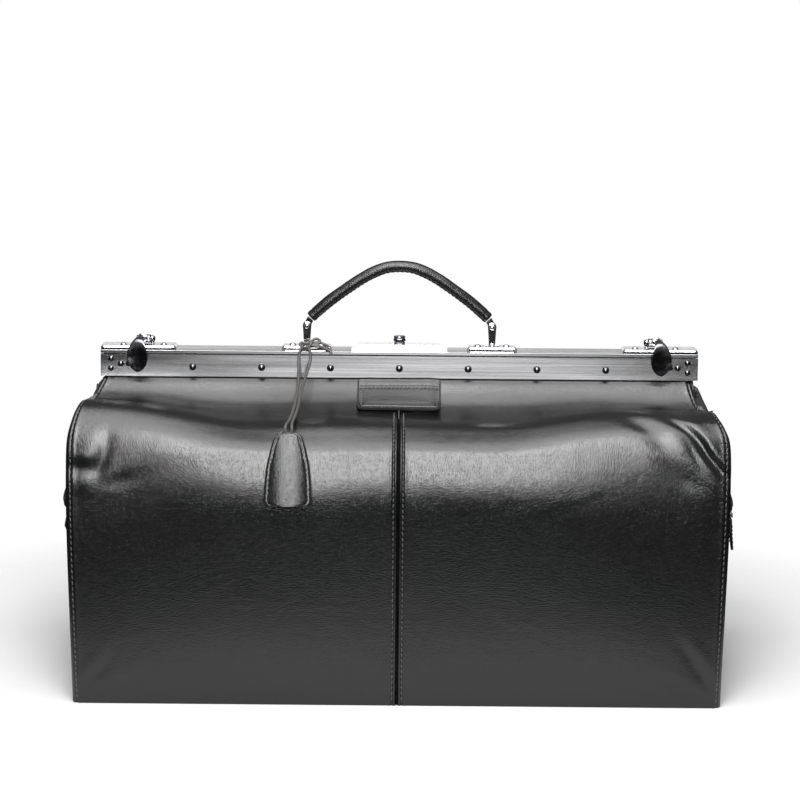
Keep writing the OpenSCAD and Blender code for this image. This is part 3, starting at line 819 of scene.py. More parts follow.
def build_gussets():
    slot_v = ZIP_HALF / gusset_depth(run_at(140))
    for side in (-1, 1):
        end = END[side]
        v = np.concatenate([np.linspace(-1, -slot_v, 9), np.linspace(-slot_v, slot_v, 43)[1:-1],
                            np.linspace(slot_v, 1, 9)])
        s = np.concatenate([np.linspace(0, run_at(ZIP_LOW), 36),
                            np.linspace(run_at(ZIP_LOW), run_at(ZIP_HIGH), 5)[1:]])
        points = gusset_grid(s, v, side)
        skip = np.zeros((len(s) - 1, len(v) - 1), bool)
        for r in range(len(s) - 1):
            for c in range(len(v) - 1):
                skip[r, c] = s[r] >= run_at(ZIP_LOW) - 1e-6 and abs(0.5 * (v[c] + v[c + 1])) < slot_v
        shape = Shape()
        slab(shape, points, 2.2, flip=side < 0, skip=skip)
        made = shape.build(f"gusset_wall_{end}", [SKIN, LINING, EDGE], 60)
        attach(made, "bag")
        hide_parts(f"gusset_{end}")
        for front in (True, False):
            part = np.linspace(-1, -0.0015, 30) if front else np.linspace(0.0015, 1, 30)
            rows = np.concatenate([np.linspace(run_at(ZIP_HIGH), run_at(186), 16)[:-1],
                                   np.linspace(run_at(186), TOP - 0.5, 44)])
            shape = Shape()
            slab(shape, gusset_grid(rows, part, side), 2.2, flip=side < 0)
            label = f"gusset_{PLACE[front]}_{end}"
            made = shape.build(label, [SKIN, LINING, EDGE], 60)
            bend(made)
            if front:
                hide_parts(f"zip_lip_{end}", f"gusset_top_{end}_front")
            else:
                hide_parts(f"gusset_top_{end}_rear")
            # Stitched edge beside the middle of the gusset
            shape = Shape()
            rows = np.linspace(run_at(171), TOP - 8, 90)
            d = gusset_depth(rows)
            sign = -1 if front else 1
            line = gusset_points(rows, sign * 3.4 / d, side)
            after = gusset_points(rows + 0.4, sign * 3.4 / d, side)
            beside = gusset_points(rows, sign * 3.0 / d, side)
            normal = unit(np.cross(after - line, beside - line))
            normal = np.where((normal[:, :1] * side) < 0, -normal, normal)
            stitch_line(shape, line, normal, 4.4, 3.0, 0.34)
            made = shape.build(label + "_stitches", [THREAD], 80)
            bend(made)


def welt(shape, side, z_low, z_high, reach, lift, thick):
    """Flat leather strip along an edge of the zip's slot."""
    ys = np.linspace(-reach, reach, 60)
    heights = np.linspace(z_low, z_high, 9)
    rows = []
    for z in heights:
        s = run_at(z)
        base = gusset_points(np.full(ys.shape, s), ys / gusset_depth(s), side)
        across = (z - z_low) / (z_high - z_low)
        crown = lift + 0.45 * math.sin(across * math.pi) - 0.5 * (abs(2 * across - 1) ** 6)
        ends = 1 - smoothstep(reach - 3, reach, np.abs(ys))
        base[:, 0] += side * (crown * (0.35 + 0.65 * ends))
        rows.append(base)
    slab(shape, np.array(rows), thick, flip=side < 0, looks=(0, 0, 1))


def build_zip(side):
    end = END[side]
    shape = Shape()
    welt(shape, side, 146.2, 153.0, 97, 1.5, 1.5)
    welt(shape, side, 128.5, 134.6, 97, 1.2, 1.2)
    for z in (150.6, 130.8):
        s = run_at(z)
        ys = np.linspace(-94, 94, 120)
        line = gusset_points(np.full(ys.shape, s), ys / gusset_depth(s), side)
        line[:, 0] += side * (1.9 if z > 140 else 1.6)
        stitch_line(shape, line, np.repeat([[side, 0, 0]], len(ys), axis=0), 4.2, 3.0, 0.34, look=2)
    made = shape.build(f"zip_welts_{end}", [TRIM, EDGE, THREAD], 60)
    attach(made, "bag")

    ys = np.linspace(-92, 92, 70)
    shape = Shape()
    for low, high in ((131.5, 139.6), (140.4, 149.0)):
        zs = np.linspace(low, high, 8)
        bow = 0.25 * np.sin((zs - low) / (high - low) * math.pi)
        grid = np.array([[(side * (248.2 + b), y, z) for y in ys] for z, b in zip(zs, bow)])
        slab(shape, grid, 0.9, flip=side < 0, looks=(0, 0, 0))
    tape = shape.build(f"zip_tape_{end}", [TAPE])
    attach(tape, "bag")
    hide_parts(f"zip_{end}")
    shape = Shape()
    tooth = [(-0.62, -1.6), (0.62, -1.6), (0.75, -0.4), (0.5, 1.0),
             (0.28, 1.5), (-0.28, 1.5), (-0.5, 1.0), (-0.75, -0.4)]
    y = -86.0
    flip = -1
    while y <= 86.0:
        verts = []
        for depth, shrink in ((248.3, 1.0), (249.5, 1.0), (249.95, 0.72)):
            verts += [(side * depth, y + a * shrink, 140 + flip * (0.55 + b * shrink)) for a, b in tooth]
        faces = closed_faces(3, len(tooth))
        shape.add(verts, turned_over(faces) if (side > 0) != (flip > 0) else faces)
        y += 1.35
        flip = -flip
    for y in (-87.6, 87.6):
        place = Matrix.Translation((side * 248.3, y, 140))
        place = place @ Matrix.Rotation(math.radians(90 * side), 4, "Y")
        lathe(shape, [(1.9, 0), (1.9, 1.1), (1.5, 1.6), (0.4, 1.7)], place, 16)
    teeth = shape.build(f"zip_teeth_{end}", [BRIGHT], 40)
    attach(teeth, "bag")


def build_puller(side):
    """Leather zip puller with a folded top and stitched edges, plus its pin and metal eye."""
    end = END[side]
    pivot = Vector((253.2 * side, -60.0 * side, 137.0))
    turn = Matrix.Rotation(math.radians(-4 * side), 4, "Y")
    place = Matrix.Translation(pivot) @ turn
    across = np.array(turn)[:3, 0]

    def bow(z):
        return 0.5 * math.sin((z + 3.6) / 23.4 * 3.1) * side

    shape = Shape()
    sides = 20
    rows = []
    for z in np.linspace(-3.6, -27, 30):
        w = 3.5 if z < -6 else 2.6 + 0.9 * (-3.6 - z) / 2.4
        if z < -23.5:
            w = 3.5 * math.sqrt(max(0.02, 1 - ((-23.5 - z) / 3.7) ** 2))
        rows.append([(math.copysign(abs(math.sin(a)) ** 0.5, math.sin(a)) * 1.05 + bow(z),
                      math.copysign(abs(math.cos(a)) ** 0.75, math.cos(a)) * w, z)
                     for a in turn_angles(sides)])
    shape.add(moved(np.array(rows).reshape(-1, 3), place), closed_faces(len(rows), sides))
    for edge in (-2.5, 2.5):
        for face in (-1, 1):
            line = [(face * 1.02 + bow(z), edge, z) for z in np.linspace(-7, -22, 20)]
            stitch_line(shape, moved(line, place), [face * across] * 20, 2.6, 1.9, 0.22, look=1)
    made = shape.build(f"zip_puller_leather_{end}", [TRIM, THREAD], 60)
    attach(made, f"{end}_puller")
    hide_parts(f"zip_puller_{end}")
    metal = Shape()
    lathe(metal, [(0.8, -2.7), (0.8, 2.7)], place @ Matrix.Rotation(math.radians(90), 4, "X"), 16)
    loop = [(0, 1.6 * math.cos(a), -2.4 + 2.4 * math.sin(a)) for a in np.linspace(0, 2 * math.pi, 25)]
    tube(metal, moved(loop, place), 0.55, 10, up=across)
    eye = metal.build(f"zip_puller_eye_{end}", [BRIGHT], 40)
    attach(eye, f"{end}_puller")


build_gussets()
for side in (-1, 1):
    build_zip(side)
    build_puller(side)

# ------------------------------------------------------------------ base and lining


def build_base():
    xs = np.concatenate([[-239.5, -239.0, -238], np.linspace(-234, 234, 60), [238, 239.0, 239.5]])
    ys = np.concatenate([[-111.4, -111, -110], np.linspace(-106, 106, 34), [110, 111, 111.4]])
    grid = np.zeros((len(ys), len(xs), 3))
    for r, y in enumerate(ys):
        for c, x in enumerate(xs):
            t = min(239.5 - abs(x), 111.4 - abs(y))
            dent = 0.35 * hump(t, 5, 1.0)
            round_off = 0.7 * max(0, 1 - t / 1.5) ** 2
            grid[r, c] = (x, y, dent + round_off)
    shape = Shape()
    slab(shape, grid, 2.3, flip=True, looks=(0, 0, 1))
    for y in (-106.4, 106.4):
        line = [(x, y, 0.5) for x in np.linspace(-232, 232, 80)]
        stitch_line(shape, line, [(0, 0, -1)] * 80, 4.4, 3.1, 0.34, look=2)
    made = shape.build("base_leather", [SKIN, EDGE, THREAD], 60)
    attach(made, "bag")
    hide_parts("base_panel")


def build_lining():
    """Cloth tub inside the walls, with a hem at its top and a notch for each hinge."""
    ring = []
    corner = 9.0
    hx, hy = 236.6, 109.6
    for x in np.linspace(-hx + corner, hx - corner, 64):
        ring.append((x, -hy))
    for a in np.linspace(-90, 0, 6)[1:-1]:
        a = math.radians(a)
        ring.append((hx - corner + corner * math.cos(a), -hy + corner + corner * math.sin(a)))
    for y in np.linspace(-hy + corner, hy - corner, 61):
        ring.append((hx, y))
    ring = np.array(ring + [(-x, -y) for x, y in ring[1:-1]])
    ring = np.vstack([ring, ring[:1]])
    levels = np.concatenate([[0.0, 0.02], np.linspace(0.05, 0.95, 20), [0.985, 1.0]])
    rows = []
    for t in levels:
        row = []
        for x, y in ring:
            notch = 37.0 * math.exp(-(y / 10.5) ** 4) if abs(abs(x) - hx) < 0.5 else 0.0
            z = 6.6 + t * (173.2 - notch)
            ripple = 0.8 * math.sin(x / 19.0 + y / 13.0) * math.sin(t * math.pi)
            pull = 1.0 - ripple / 240 - 0.0015 * math.sin(t * math.pi)
            row.append((x * pull, y * (1 - ripple / 110), z))
        rows.append(row)
    shape = Shape()
    slab(shape, np.array(rows), 0.9, looks=(0, 0, 0))
    xs = np.linspace(-hx + 1, hx - 1, 60)
    ys = np.linspace(-hy + 1, hy - 1, 34)
    floor = np.array([[(x, y, 7.3 + 0.25 * math.sin(x / 23) * math.cos(y / 17)) for x in xs]
                      for y in ys])
    slab(shape, floor, 0.8, looks=(0, 0, 0))
    hem = np.array(rows[-1])
    for a, b in zip(hem[:-1:2], hem[2::2]):
        if np.linalg.norm(b - a) < 20:
            middle = (a + b) / 2 + np.array([0, 0, -3.0])
            inward = unit([-middle[0] * (abs(middle[0]) > 230),
                           -middle[1] * (abs(middle[1]) > 100), 0.001])
            stitch(shape, middle + inward, b - a, inward, 3.4, 0.3, look=1)
    made = shape.build("lining_cloth", [LINING, THREAD], 60)
    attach(made, "bag")
    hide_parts("lining")


def build_binding(front):
    """The turned leather edge between the bar's face and its clamp strip."""
    sign = -1 if front else 1
    profile = [(9.25, 233.7), (9.3, 240), (9.2, 246.9), (10.4, 247.2), (11.6, 246.9),
               (11.75, 240), (11.7, 234.2), (11.2, 233.55), (10.2, 233.4)]
    xs = np.linspace(-217, 217, 120)
    rows = [[(x, sign * (d + 0.06 * math.sin(x / 9.0 + z)), z) for d, z in profile] for x in xs]
    shape = Shape()
    faces = closed_faces(len(xs), len(profile))
    shape.add(rows, turned_over(faces) if front else faces)
    made = shape.build(f"{PLACE[front]}_turned_edge", [TRIM], 60)
    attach(made, JAW[front])
    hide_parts(f"{PLACE[front]}_binding")


build_base()
build_lining()
build_binding(True)
build_binding(False)

# ------------------------------------------------------------------ patch

# Depth and height of the patch, from the frame down over the leather
PATCH_LINE = catmull([(17.4, 232.6), (19.5, 230.6), (26, 224.8),
                      (35, 217.8), (40.0, 215.4), (42.6, 214.9)], 10)
PATCH_HALF = 32.0
PATCH_CORNER = 4.0
PATCH_GROOVES = (5.6, 8.4)


def build_patch():
    run = lengths(PATCH_LINE)
    total = run[-1]
    steps = np.concatenate([np.linspace(0, total - 6, 26)[:-1], np.linspace(total - 6, total, 18)])
    ts = np.concatenate([[-1, -0.995, -0.985, -0.97], np.linspace(-0.95, 0.95, 61), [0.97, 0.985, 0.995, 1]])
    tangent = unit(np.gradient(PATCH_LINE, axis=0))
    rows = []
    for s in steps:
        d = np.interp(s, run, PATCH_LINE[:, 0])
        z = np.interp(s, run, PATCH_LINE[:, 1])
        td = np.interp(s, run, tangent[:, 0])
        tz = np.interp(s, run, tangent[:, 1])
        left = total - s
        half = PATCH_HALF
        if left < PATCH_CORNER:
            half -= PATCH_CORNER - math.sqrt(max(0.0, PATCH_CORNER ** 2 - (PATCH_CORNER - left) ** 2))
        row = []
        for t in ts:
            x = t * half
            to_edge = min(PATCH_HALF - abs(x), left)
            h = 0.55 * smoothstep(0, 1.4, to_edge) - 0.55
            h -= 0.6 * hump(to_edge, 3.1, 0.6) * (s > 9)
            h += 0.5 * smoothstep(3.6, 9, to_edge) - 0.25 * smoothstep(8, 16, to_edge)
            for line in PATCH_GROOVES:
                h -= 0.55 * hump(s, line, 0.7)
            h += 0.2 * math.sin(x / 11.0 + s / 9.0)
            row.append((x, -(d - tz * h), z + td * h))
        rows.append(row)
    grid = np.array(rows)
    shape = Shape()
    slab(shape, grid, 1.7, flip=True)
    normals = grid_normals(grid, True)

    def on_patch(x, s):
        r = int(np.argmin(abs(steps - s)))
        c = int(np.argmin(abs(grid[r, :, 0] - x)))
        return grid[r, c] + np.array([x - grid[r, c, 0], 0, 0]), normals[r, c]

    def sew(places, pitch, length, radius, slant=0.0):
        both = [on_patch(x, s) for x, s in places]
        stitch_line(shape, [p for p, _ in both], [n for _, n in both], pitch, length, radius, slant, look=3)

    corner = 1.6
    edge = PATCH_HALF - 3.0
    foot = total - 3.0
    arc = [(corner * math.sin(a), corner * math.cos(a)) for a in np.linspace(0.2, 1.4, 4)]
    outline = [(-edge, s) for s in np.linspace(10.5, foot - corner, 30)]
    outline += [(-edge + corner - b, foot - corner + a) for a, b in arc]
    outline += [(x, foot) for x in np.linspace(-edge + corner, edge - corner, 70)]
    outline += [(edge - corner + a, foot - corner + b) for a, b in arc]
    outline += [(edge, s) for s in np.linspace(foot - corner, 10.5, 30)]
    sew(outline, 2.9, 2.1, 0.36)
    for s in PATCH_GROOVES:
        sew([(x, s) for x in np.linspace(-30.5, 30.5, 90)], 3.0, 2.6, 0.5, slant=0.35)
    made = shape.build("leather_patch_sewn", [TRIM, TRIM, EDGE, THREAD], 60)
    bend(made)
    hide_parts("leather_patch")


build_patch()

# ------------------------------------------------------------------ key bell


def bell_grid(top, lean, length, bulge, flip):
    """One leaf of the bell as a puffed sheet; top is (y, z) of its upper edge."""
    vs = np.concatenate([np.linspace(0, 0.9, 30)[:-1], np.linspace(0.9, 1, 12)])
    us = np.concatenate([[-1, -0.97, -0.93, -0.88], np.linspace(-0.84, 0.84, 33), [0.88, 0.93, 0.97, 1]])
    lean = math.radians(lean)
    rows = []
    for v in vs:
        drop = v * length
        half = np.interp(drop, [-1, 0, 2, 5, 12, 24, 36, length - 4, length],
                         [8.6, 9.2, 10.2, 11.2, 13.2, 15.9, 17.1, 17.6, 17.4])
        left = length - drop
        if left < 4:
            half = 13.5 + math.sqrt(max(0, 16 - (4 - left) ** 2))
        if drop < 3.5:
            half = half - 3.5 + math.sqrt(max(0, 12.25 - (3.5 - drop) ** 2))
        row = []
        for u in us:
            puff = bulge * (1 - abs(u) ** 2.4) * math.sin(min(1, 0.1 + 0.95 * v) * math.pi * 0.56)
            edge = (1 - abs(u)) * half
            puff += 0.3 * hump(edge, 1.2, 0.7) - 0.45 * hump(edge, 2.8, 0.65)
            row.append((BELL_X + u * half, top[0] - flip * puff - drop * math.sin(lean),
                        top[1] - drop * math.cos(lean)))
        rows.append(row)
    return np.array(rows), vs * length


def build_bell():
    for label, top, lean, length, bulge, face in (
        ("front", (-117.0, 207.2), 17, 53.5, 4.2, 1), ("back", (-112.4, 207.2), 15, 55.0, -0.6, -1),
    ):
        grid, drops = bell_grid(top, lean, length, bulge, face)
        shape = Shape()
        slab(shape, grid, 1.4, flip=face > 0)
        normals = grid_normals(grid, face > 0)
        for side in (-1, 1):
            points = []
            directions = []
            for r, drop in enumerate(drops):
                if 4 < drop < length - 5.5:
                    half = abs(grid[r, -1, 0] - BELL_X)
                    x = BELL_X + side * (half - 2.8)
                    c = int(np.argmin(abs(grid[r, :, 0] - x)))
                    points.append(grid[r, c])
                    directions.append(normals[r, c])
            stitch_line(shape, points, directions, 3.7, 2.7, 0.32, look=3)
        made = shape.build(f"bell_leaf_{label}", [TRIM, TRIM, EDGE, THREAD], 60)
        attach(made, "key_bell")
        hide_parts("bell_" + label)


build_bell()

# ------------------------------------------------------------------ knot


KNOT_RADIUS = 1.05


def build_knot():
    """The lace's overhand knot and its turns round the handle plate."""
    shape = Shape()
    centre = np.array([KNOT_X + 0.2, -10.2, 256.9])
    angle = np.linspace(0, 2 * math.pi, 73)[:-1]
    trefoil = np.stack([
        (np.sin(angle) + 2 * np.sin(2 * angle)) * 1.45,
        np.sin(3 * angle),
        (np.cos(angle) - 2 * np.cos(2 * angle)) * 1.2,
    ], axis=1) + centre
    tube(shape, np.vstack([trefoil, trefoil[:1]]), KNOT_RADIUS, 12, up=(0.3, 0.9, 0.2))
    # Loops on the plate to the right of the link, the band round them and the short end
    for up, points in (
        ((0.1, 0.1, 1), [(2, -10, 256.6), (5, -8.4, 258.4), (9.5, -6.8, 259.2), (14.5, -6.6, 257.9),
                         (17.4, -8.4, 256.6), (16.4, -10.8, 255.6), (11, -11.2, 256.4),
                         (5, -10.8, 257.6), (1.4, -10.4, 257.4)]),
        ((0.1, 0.1, 1), [(1.6, -9.2, 257.2), (5.2, -7.4, 260.4), (8.4, -6.4, 262.0),
                         (11.2, -6.4, 260.6), (10.4, -7.6, 258.6), (6.6, -8.6, 258.2),
                         (2.2, -9.4, 258.2)]),
        ((1, 0, 0.1), [(3.0, -11.6, 256.0), (4.6, -11.0, 258.8), (5.6, -8.6, 260.6),
                       (5.4, -6.6, 259.6), (4.2, -6.6, 257.6), (3.2, -8.6, 255.9),
                       (3.0, -11.0, 255.4)]),
        ((0, 0.3, 1), [(1, -10.6, 257.2), (8, -10.4, 257.9), (14, -12.4, 256.0),
                       (19.5, -15.4, 253.6), (20.2, -16.2, 251.2)]),
    ):
        tube(shape, catmull([(KNOT_X + x, y, z) for x, y, z in points], 7), KNOT_RADIUS, 12, up=up)
    made = shape.build("lace_knot_tied", [LACE], 60)
    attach(made, "front_jaw")
    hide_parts("lace_knot")


build_knot()

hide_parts("lace_strands")
bend(lace)

# ------------------------------------------------------------------ handle


def build_grip():
    half = [(68.5, 0, 278), (61, 0, 285), (54, 0, 291), (46, 0, 297), (37.5, 0, 303),
            (30, 0, 308), (21, 0, 313), (10.5, 0, 317), (0, 0, 318)]
    path = catmull(half + [(-x, y, z) for x, y, z in half[-2::-1]], 8)
    run = lengths(path)
    sides = 36
    shape = Shape()
    radius = np.zeros((len(path), sides))
    for i, s in enumerate(run):
        to_end = min(s, run[-1] - s)
        for k, a in enumerate(turn_angles(sides)):
            r = 4.45 + 0.06 * math.sin(s / 7.0 + 2 * a) + 0.05 * math.sin(s / 3.1)
            r -= 0.45 * max(0, 1 - to_end / 1.0) ** 2
            r -= 0.3 * math.exp(-(to_end - 4.2) ** 2 / 0.5)
            radius[i, k] = r
    ring = rings_along(path, sides, (0, 1, 0))
    outer = path[:, None, :] + ring * radius[:, :, None]
    inner = path[:, None, :] + ring * 2.4
    around = quads(len(path), sides, wrap=True)
    shape.add(outer, turned_over(around))
    count = shape.add(inner, around, 1)
    last = (len(path) - 1) * sides
    caps = []
    for k in range(sides):
        j = (k + 1) % sides
        caps.append((k, j, count + j, count + k))
        caps.append((last + j, last + k, count + last + k, count + last + j))
    shape.add_faces(0, caps, 1)
    # Sewn joint along the underside
    under = unit(np.cross(np.gradient(path, axis=0), np.array([0.0, 1.0, 0.0])))
    under = np.where(under[:, 2:3] > 0, -under, under)
    keep = (run > 8) & (run < run[-1] - 8)
    for offset in (-0.9, 0.9):
        line = path + under * 4.3 + np.array([0, offset, 0])
        stitch_line(shape, line[keep], under[keep], 3.6, 2.6, 0.2, look=2)
    made = shape.build("grip_leather", [TRIM, EDGE, THREAD], 60)
    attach(made, "handle")
    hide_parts("handle_grip")


build_grip()

# ------------------------------------------------------------------ metal parts


def dome(radius, height):
    """Profile of a round rivet head with a short straight foot."""
    foot = 0.35
    profile = [(radius, -0.2), (radius, foot)]
    for a in np.radians(np.linspace(8, 82, 9)):
        profile.append((radius * math.cos(a), foot + (height - foot) * math.sin(a)))
    profile.append((0.05, height))
    return profile


def build_rivets(front):
    sign = -1 if front else 1
    shape = Shape()
    turn = Matrix.Rotation(math.radians(90 if front else -90), 4, "X")
    spots = [(i * 53.0, 240.5, 2.8, 3.3) for i in range(-3, 4)]
    for s in (-1, 1):
        spots += [(s * x, z, 2.35, 1.9) for x, z in ((222, 246.5), (222, 239), (214.5, 242.5), (208.5, 243))]
    for x, z, r, h in spots:
        tilt = Matrix.Rotation(math.radians(rng.uniform(-2, 2)), 4, "X")
        place = Matrix.Translation((x, sign * 14.0, z)) @ turn
        lathe(shape, dome(r, h), place @ tilt, 28)
        if r > 2.5:
            lathe(shape, [(1.45, -6.6), (1.45, -0.1)], place, 16)
            lathe(shape, [(2.2, -7.4), (2.2, -6.8), (1.9, -6.6)], place, 20)
        else:
            lathe(shape, [(1.15, -3.0), (1.15, -0.1)], place, 16)
    made = shape.build(f"{PLACE[front]}_rivet_heads", [STUD], 40)
    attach(made, JAW[front])
    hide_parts(f"{PLACE[front]}_rivets")


# Middle of the clasp lever as y and z from its hinge, out to the tip of the paddle
LEVER_LINE = catmull([(-3.2, 0.6), (-8, 1.6), (-14.5, 2.0), (-19.2, 0.9), (-21.8, -2.6), (-22.7, -7),
                      (-22.6, -12), (-22.0, -17.5), (-22.3, -21.5), (-22.9, -23.0)], 6)


def build_lever(side):
    """Spoon-shaped clasp lever: a dished paddle on a round neck, with a collar and a hinge barrel."""
    end = END[side]
    place = Matrix.Translation((196.5, 2, 260.0)) @ Matrix.Rotation(math.radians(12), 4, "Z")
    run = lengths(LEVER_LINE)
    keys = np.linspace(0, len(LEVER_LINE) - 1, 10)
    at = run[np.round(keys).astype(int)]
    half = np.interp(run, at, [2.9, 2.9, 3.0, 4.2, 6.0, 7.6, 8.1, 6.9, 3.6, 0.6])
    thick = np.interp(run, at, [2.4, 2.3, 1.9, 1.3, 1.0, 0.9, 0.85, 0.85, 0.75, 0.3])
    cup = np.interp(run, at, [0, 0, 0, 0.1, 0.8, 1.7, 1.9, 1.4, 0.5, 0])
    half = catmull(np.interp(at, run, half)[:, None], 6)[:, 0]
    tangent = unit(np.gradient(LEVER_LINE, axis=0))
    sides = 28
    rows = []
    for i, (y, z) in enumerate(LEVER_LINE):
        normal = np.array([-tangent[i, 1], tangent[i, 0]])
        if normal @ np.array([-1, 0.6]) < 0:
            normal = -normal
        row = []
        for a in turn_angles(sides):
            x = max(half[i], 0.3) * math.cos(a)
            off = thick[i] * math.copysign(abs(math.sin(a)) ** 0.8, math.sin(a))
            off += cup[i] * (math.cos(a) ** 2 - 0.4)
            row.append((x, y + normal[0] * off, z + normal[1] * off))
        rows.append(row)

    def put(target, verts, faces):
        """Adds a group of faces at the lever's place, mirrored for the left end."""
        target.add(moved(verts, place) * (side, 1, 1), faces if side > 0 else turned_over(faces))

    shape = Shape()
    put(shape, np.array(rows).reshape(-1, 3), closed_faces(len(rows), sides))
    barrel = Shape()
    lathe(barrel, [(1.4, -4.2), (2.7, -4.2), (3.1, -3.8), (3.1, 3.8), (2.7, 4.2), (1.4, 4.2)],
          Matrix.Rotation(math.radians(90), 4, "Y"), 32)
    put(shape, barrel.verts[0], barrel.faces)
    collar = Shape()
    ring = np.array([(3.15 * math.cos(a), 0, 2.7 * math.sin(a)) for a in np.linspace(0, 2 * math.pi, 33)])
    tube(collar, ring + np.array([0, -8.6, 1.7]), 0.85, 10, up=(0, 1, 0))
    tube(collar, ring * 0.96 + np.array([0, -10.4, 1.85]), 0.6, 10, up=(0, 1, 0))
    made = shape.build(f"clasp_paddle_{end}", [DARK], 45)
    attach(made, f"{end}_clasp")
    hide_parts(f"clasp_lever_{end}")
    rings = Shape()
    put(rings, np.concatenate(collar.verts), collar.faces)
    made = rings.build(f"clasp_collar_{end}", [BRIGHT], 60)
    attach(made, f"{end}_clasp")


build_rivets(True)
build_rivets(False)
for side in (-1, 1):
    build_lever(side)

for name, width, material, segments in (
    ("front_bar", 0.55, STEEL, 3), ("rear_bar", 0.55, STEEL, 3), ("top_cover", 0.5, STEEL, 3),
    ("lock_housing", 0.5, BRIGHT, 3), ("handle_plates", 0.45, PLATE, 3),
    ("clasp_plate_left", 0.45, PLATE, 3), ("clasp_plate_right", 0.45, PLATE, 3),
    ("link_left", 0.3, BRIGHT, 2), ("link_right", 0.3, BRIGHT, 2), ("handle_tabs", 0.4, DARK, 2),
    ("front_arms", 0.25, INNER, 1), ("rear_arms", 0.25, INNER, 1),
    ("zip_slider_left", 0.25, BRIGHT, 2), ("zip_slider_right", 0.25, BRIGHT, 2),
):
    bevelled(name, width, material, segments)

nodes["clasp_pins"].data.materials[0] = DARK
for name in ("lock_button", "key_plug", "clasp_pins", "hinge_pins", "lock_spring", "bag_key", "handle_core"):
    mesh = nodes[name].data
    mesh.polygons.foreach_set("use_smooth", [True] * len(mesh.polygons))
    mesh.set_sharp_from_angle(angle=math.radians(35))

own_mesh(nodes["lock_spring"])

# ------------------------------------------------------------------ floor, lights, world


FLOOR_MIDDLE = (0, 0.06, -0.0002)
FLOOR_RADIUS = 0.52


def build_floor():
    """White disc that fades out towards its rim."""
    count = 96
    rim = [(FLOOR_RADIUS * math.cos(a), FLOOR_RADIUS * math.sin(a), 0) for a in turn_angles(count)]
    verts = np.array([(0, 0, 0)] + rim) + FLOOR_MIDDLE
    faces = [(0, 1 + i, 1 + (i + 1) % count) for i in range(count)]
    material, tree, shader = new_material("floor_white", (0.55, 0.55, 0.55), 0.9, specular=0.1)
    where = node(tree, "ShaderNodeTexCoord")
    away = node(tree, "ShaderNodeVectorMath", operation="DISTANCE")
    away.inputs[1].default_value = (0, 0.06, 0)
    tree.links.new(where.outputs["Object"], away.inputs[0])
    clear = node(tree, "ShaderNodeBsdfTransparent")
    mix = node(tree, "ShaderNodeMixShader")
    tree.links.new(remap(tree, away.outputs["Value"], 0.34, FLOOR_RADIUS, 0.0, 1.0), mix.inputs[0])
    tree.links.new(shader.outputs["BSDF"], mix.inputs[1])
    tree.links.new(clear.outputs["BSDF"], mix.inputs[2])
    out = next(n for n in tree.nodes if n.type == "OUTPUT_MATERIAL")
    tree.links.new(mix.outputs["Shader"], out.inputs["Surface"])
    mesh = bpy.data.meshes.new("floor")
    mesh.from_pydata(verts.tolist(), [], faces)
    mesh.materials.append(material)
    floor = bpy.data.objects.new("floor", mesh)
    scene.collection.objects.link(floor)


def area_light(name, place, aim, width, height, radiance):
    data = bpy.data.lights.new(name, "AREA")
    data.shape = "RECTANGLE"
    data.size = width
    data.size_y = height
    data.energy = radiance * math.pi * width * height
    light = bpy.data.objects.new(name, data)
    scene.collection.objects.link(light)
    light.location = place
    light.rotation_euler = (Vector(aim) - Vector(place)).to_track_quat("-Z", "Y").to_euler()
    return light


def light_only(light, name, wanted):
    """The light reaches only the meshes that wanted() picks."""
    lit = bpy.data.collections.new(name)
    for obj in scene.objects:
        if obj.type == "MESH" and wanted(obj):
            lit.objects.link(obj)
    light.light_linking.receiver_collection = lit


def is_frame_face(obj):
    return obj.name.startswith(("front_bar", "top_cover"))


def is_metal(obj):
    if not (obj.data.materials and obj.data.materials[0].use_nodes):
        return False
    shader = obj.data.materials[0].node_tree.nodes.get("Principled BSDF")
    return bool(shader) and shader.inputs["Metallic"].default_value > 0.5


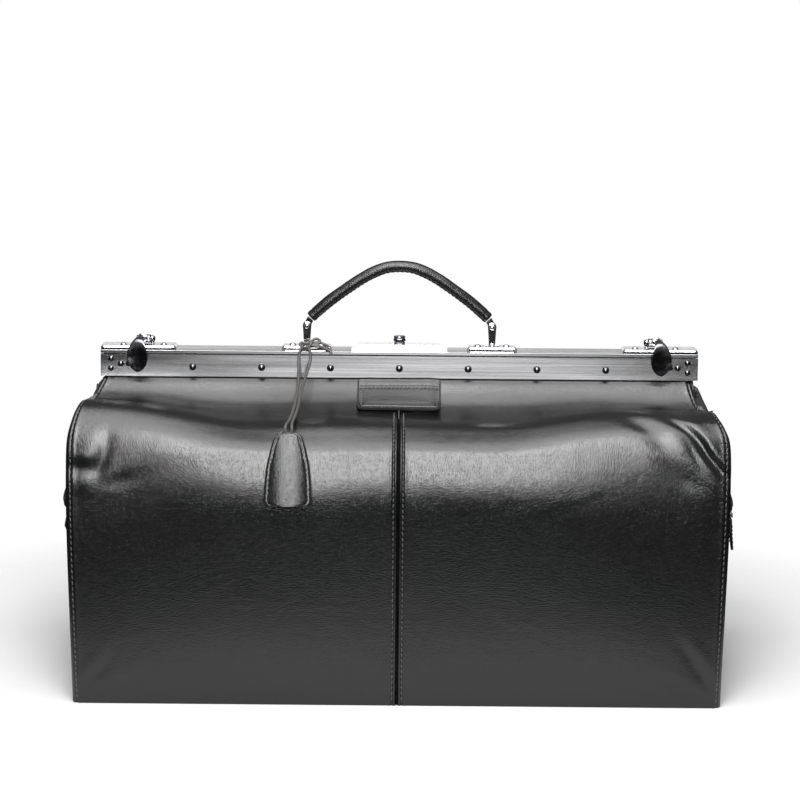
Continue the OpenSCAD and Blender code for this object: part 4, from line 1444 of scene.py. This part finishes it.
def build_world():
    world = bpy.data.worlds.new("world")
    scene.world = world
    world.use_nodes = True
    tree = world.node_tree
    tree.nodes.clear()
    out = node(tree, "ShaderNodeOutputWorld")
    shown = node(tree, "ShaderNodeBackground")
    shown.inputs["Color"].default_value = (1, 1, 1, 1)
    shown.inputs["Strength"].default_value = 1.0
    lit = node(tree, "ShaderNodeBackground")
    where = node(tree, "ShaderNodeTexCoord")
    split = node(tree, "ShaderNodeSeparateXYZ")
    tree.links.new(where.outputs["Generated"], split.inputs["Vector"])
    sky = remap(tree, split.outputs["Z"], 0.0, 0.9, 0.02, 0.3)
    behind = remap(tree, split.outputs["Y"], 0.55, 0.9, 0.0, 1.0)
    low = remap(tree, split.outputs["Z"], -0.12, 0.0, 0.0, 1.0)
    band = remap(tree, split.outputs["Z"], 0.18, 0.3, 1.0, 0.0)
    wall = maths(tree, "MULTIPLY", maths(tree, "MULTIPLY", behind, low), band)
    tree.links.new(maths(tree, "ADD", sky, maths(tree, "MULTIPLY", wall, 0.15)), lit.inputs["Strength"])
    lit.inputs["Color"].default_value = (1, 1, 1, 1)
    rays = node(tree, "ShaderNodeLightPath")
    mix = node(tree, "ShaderNodeMixShader")
    tree.links.new(rays.outputs["Is Camera Ray"], mix.inputs[0])
    tree.links.new(lit.outputs["Background"], mix.inputs[1])
    tree.links.new(shown.outputs["Background"], mix.inputs[2])
    tree.links.new(mix.outputs["Shader"], out.inputs["Surface"])


build_floor()
area_light("softbox_top", (0.0, -0.33, 1.4), (0, -0.1, 0.2), 1.4, 0.85, 6.0)
front = area_light("softbox_front", (-0.05, -1.4735, 0.99), (-0.05, -0.902, 0.169), 0.64, 1.77, 16.0)
card = area_light("card_for_frame", (0.03, -2.0, -0.09), (0.03, 0, 0.24), 0.54, 0.34, 1.35)
back = area_light("card_behind", (0.0, 2.4, 0.36), (0, 0, 0.24), 3.2, 0.62, 0.85)
light_only(card, "lit_by_card", is_frame_face)
light_only(front, "lit_by_front", lambda obj: not is_frame_face(obj))
light_only(back, "lit_from_behind", is_metal)
area_light("strip_left", (-1.7, -0.5, 0.6), (0, 0, 0.15), 0.5, 0.9, 0.8)
area_light("strip_right", (1.7, -0.5, 0.6), (0, 0, 0.15), 0.5, 0.9, 0.8)
build_world()
scene.view_settings.view_transform = "Standard"
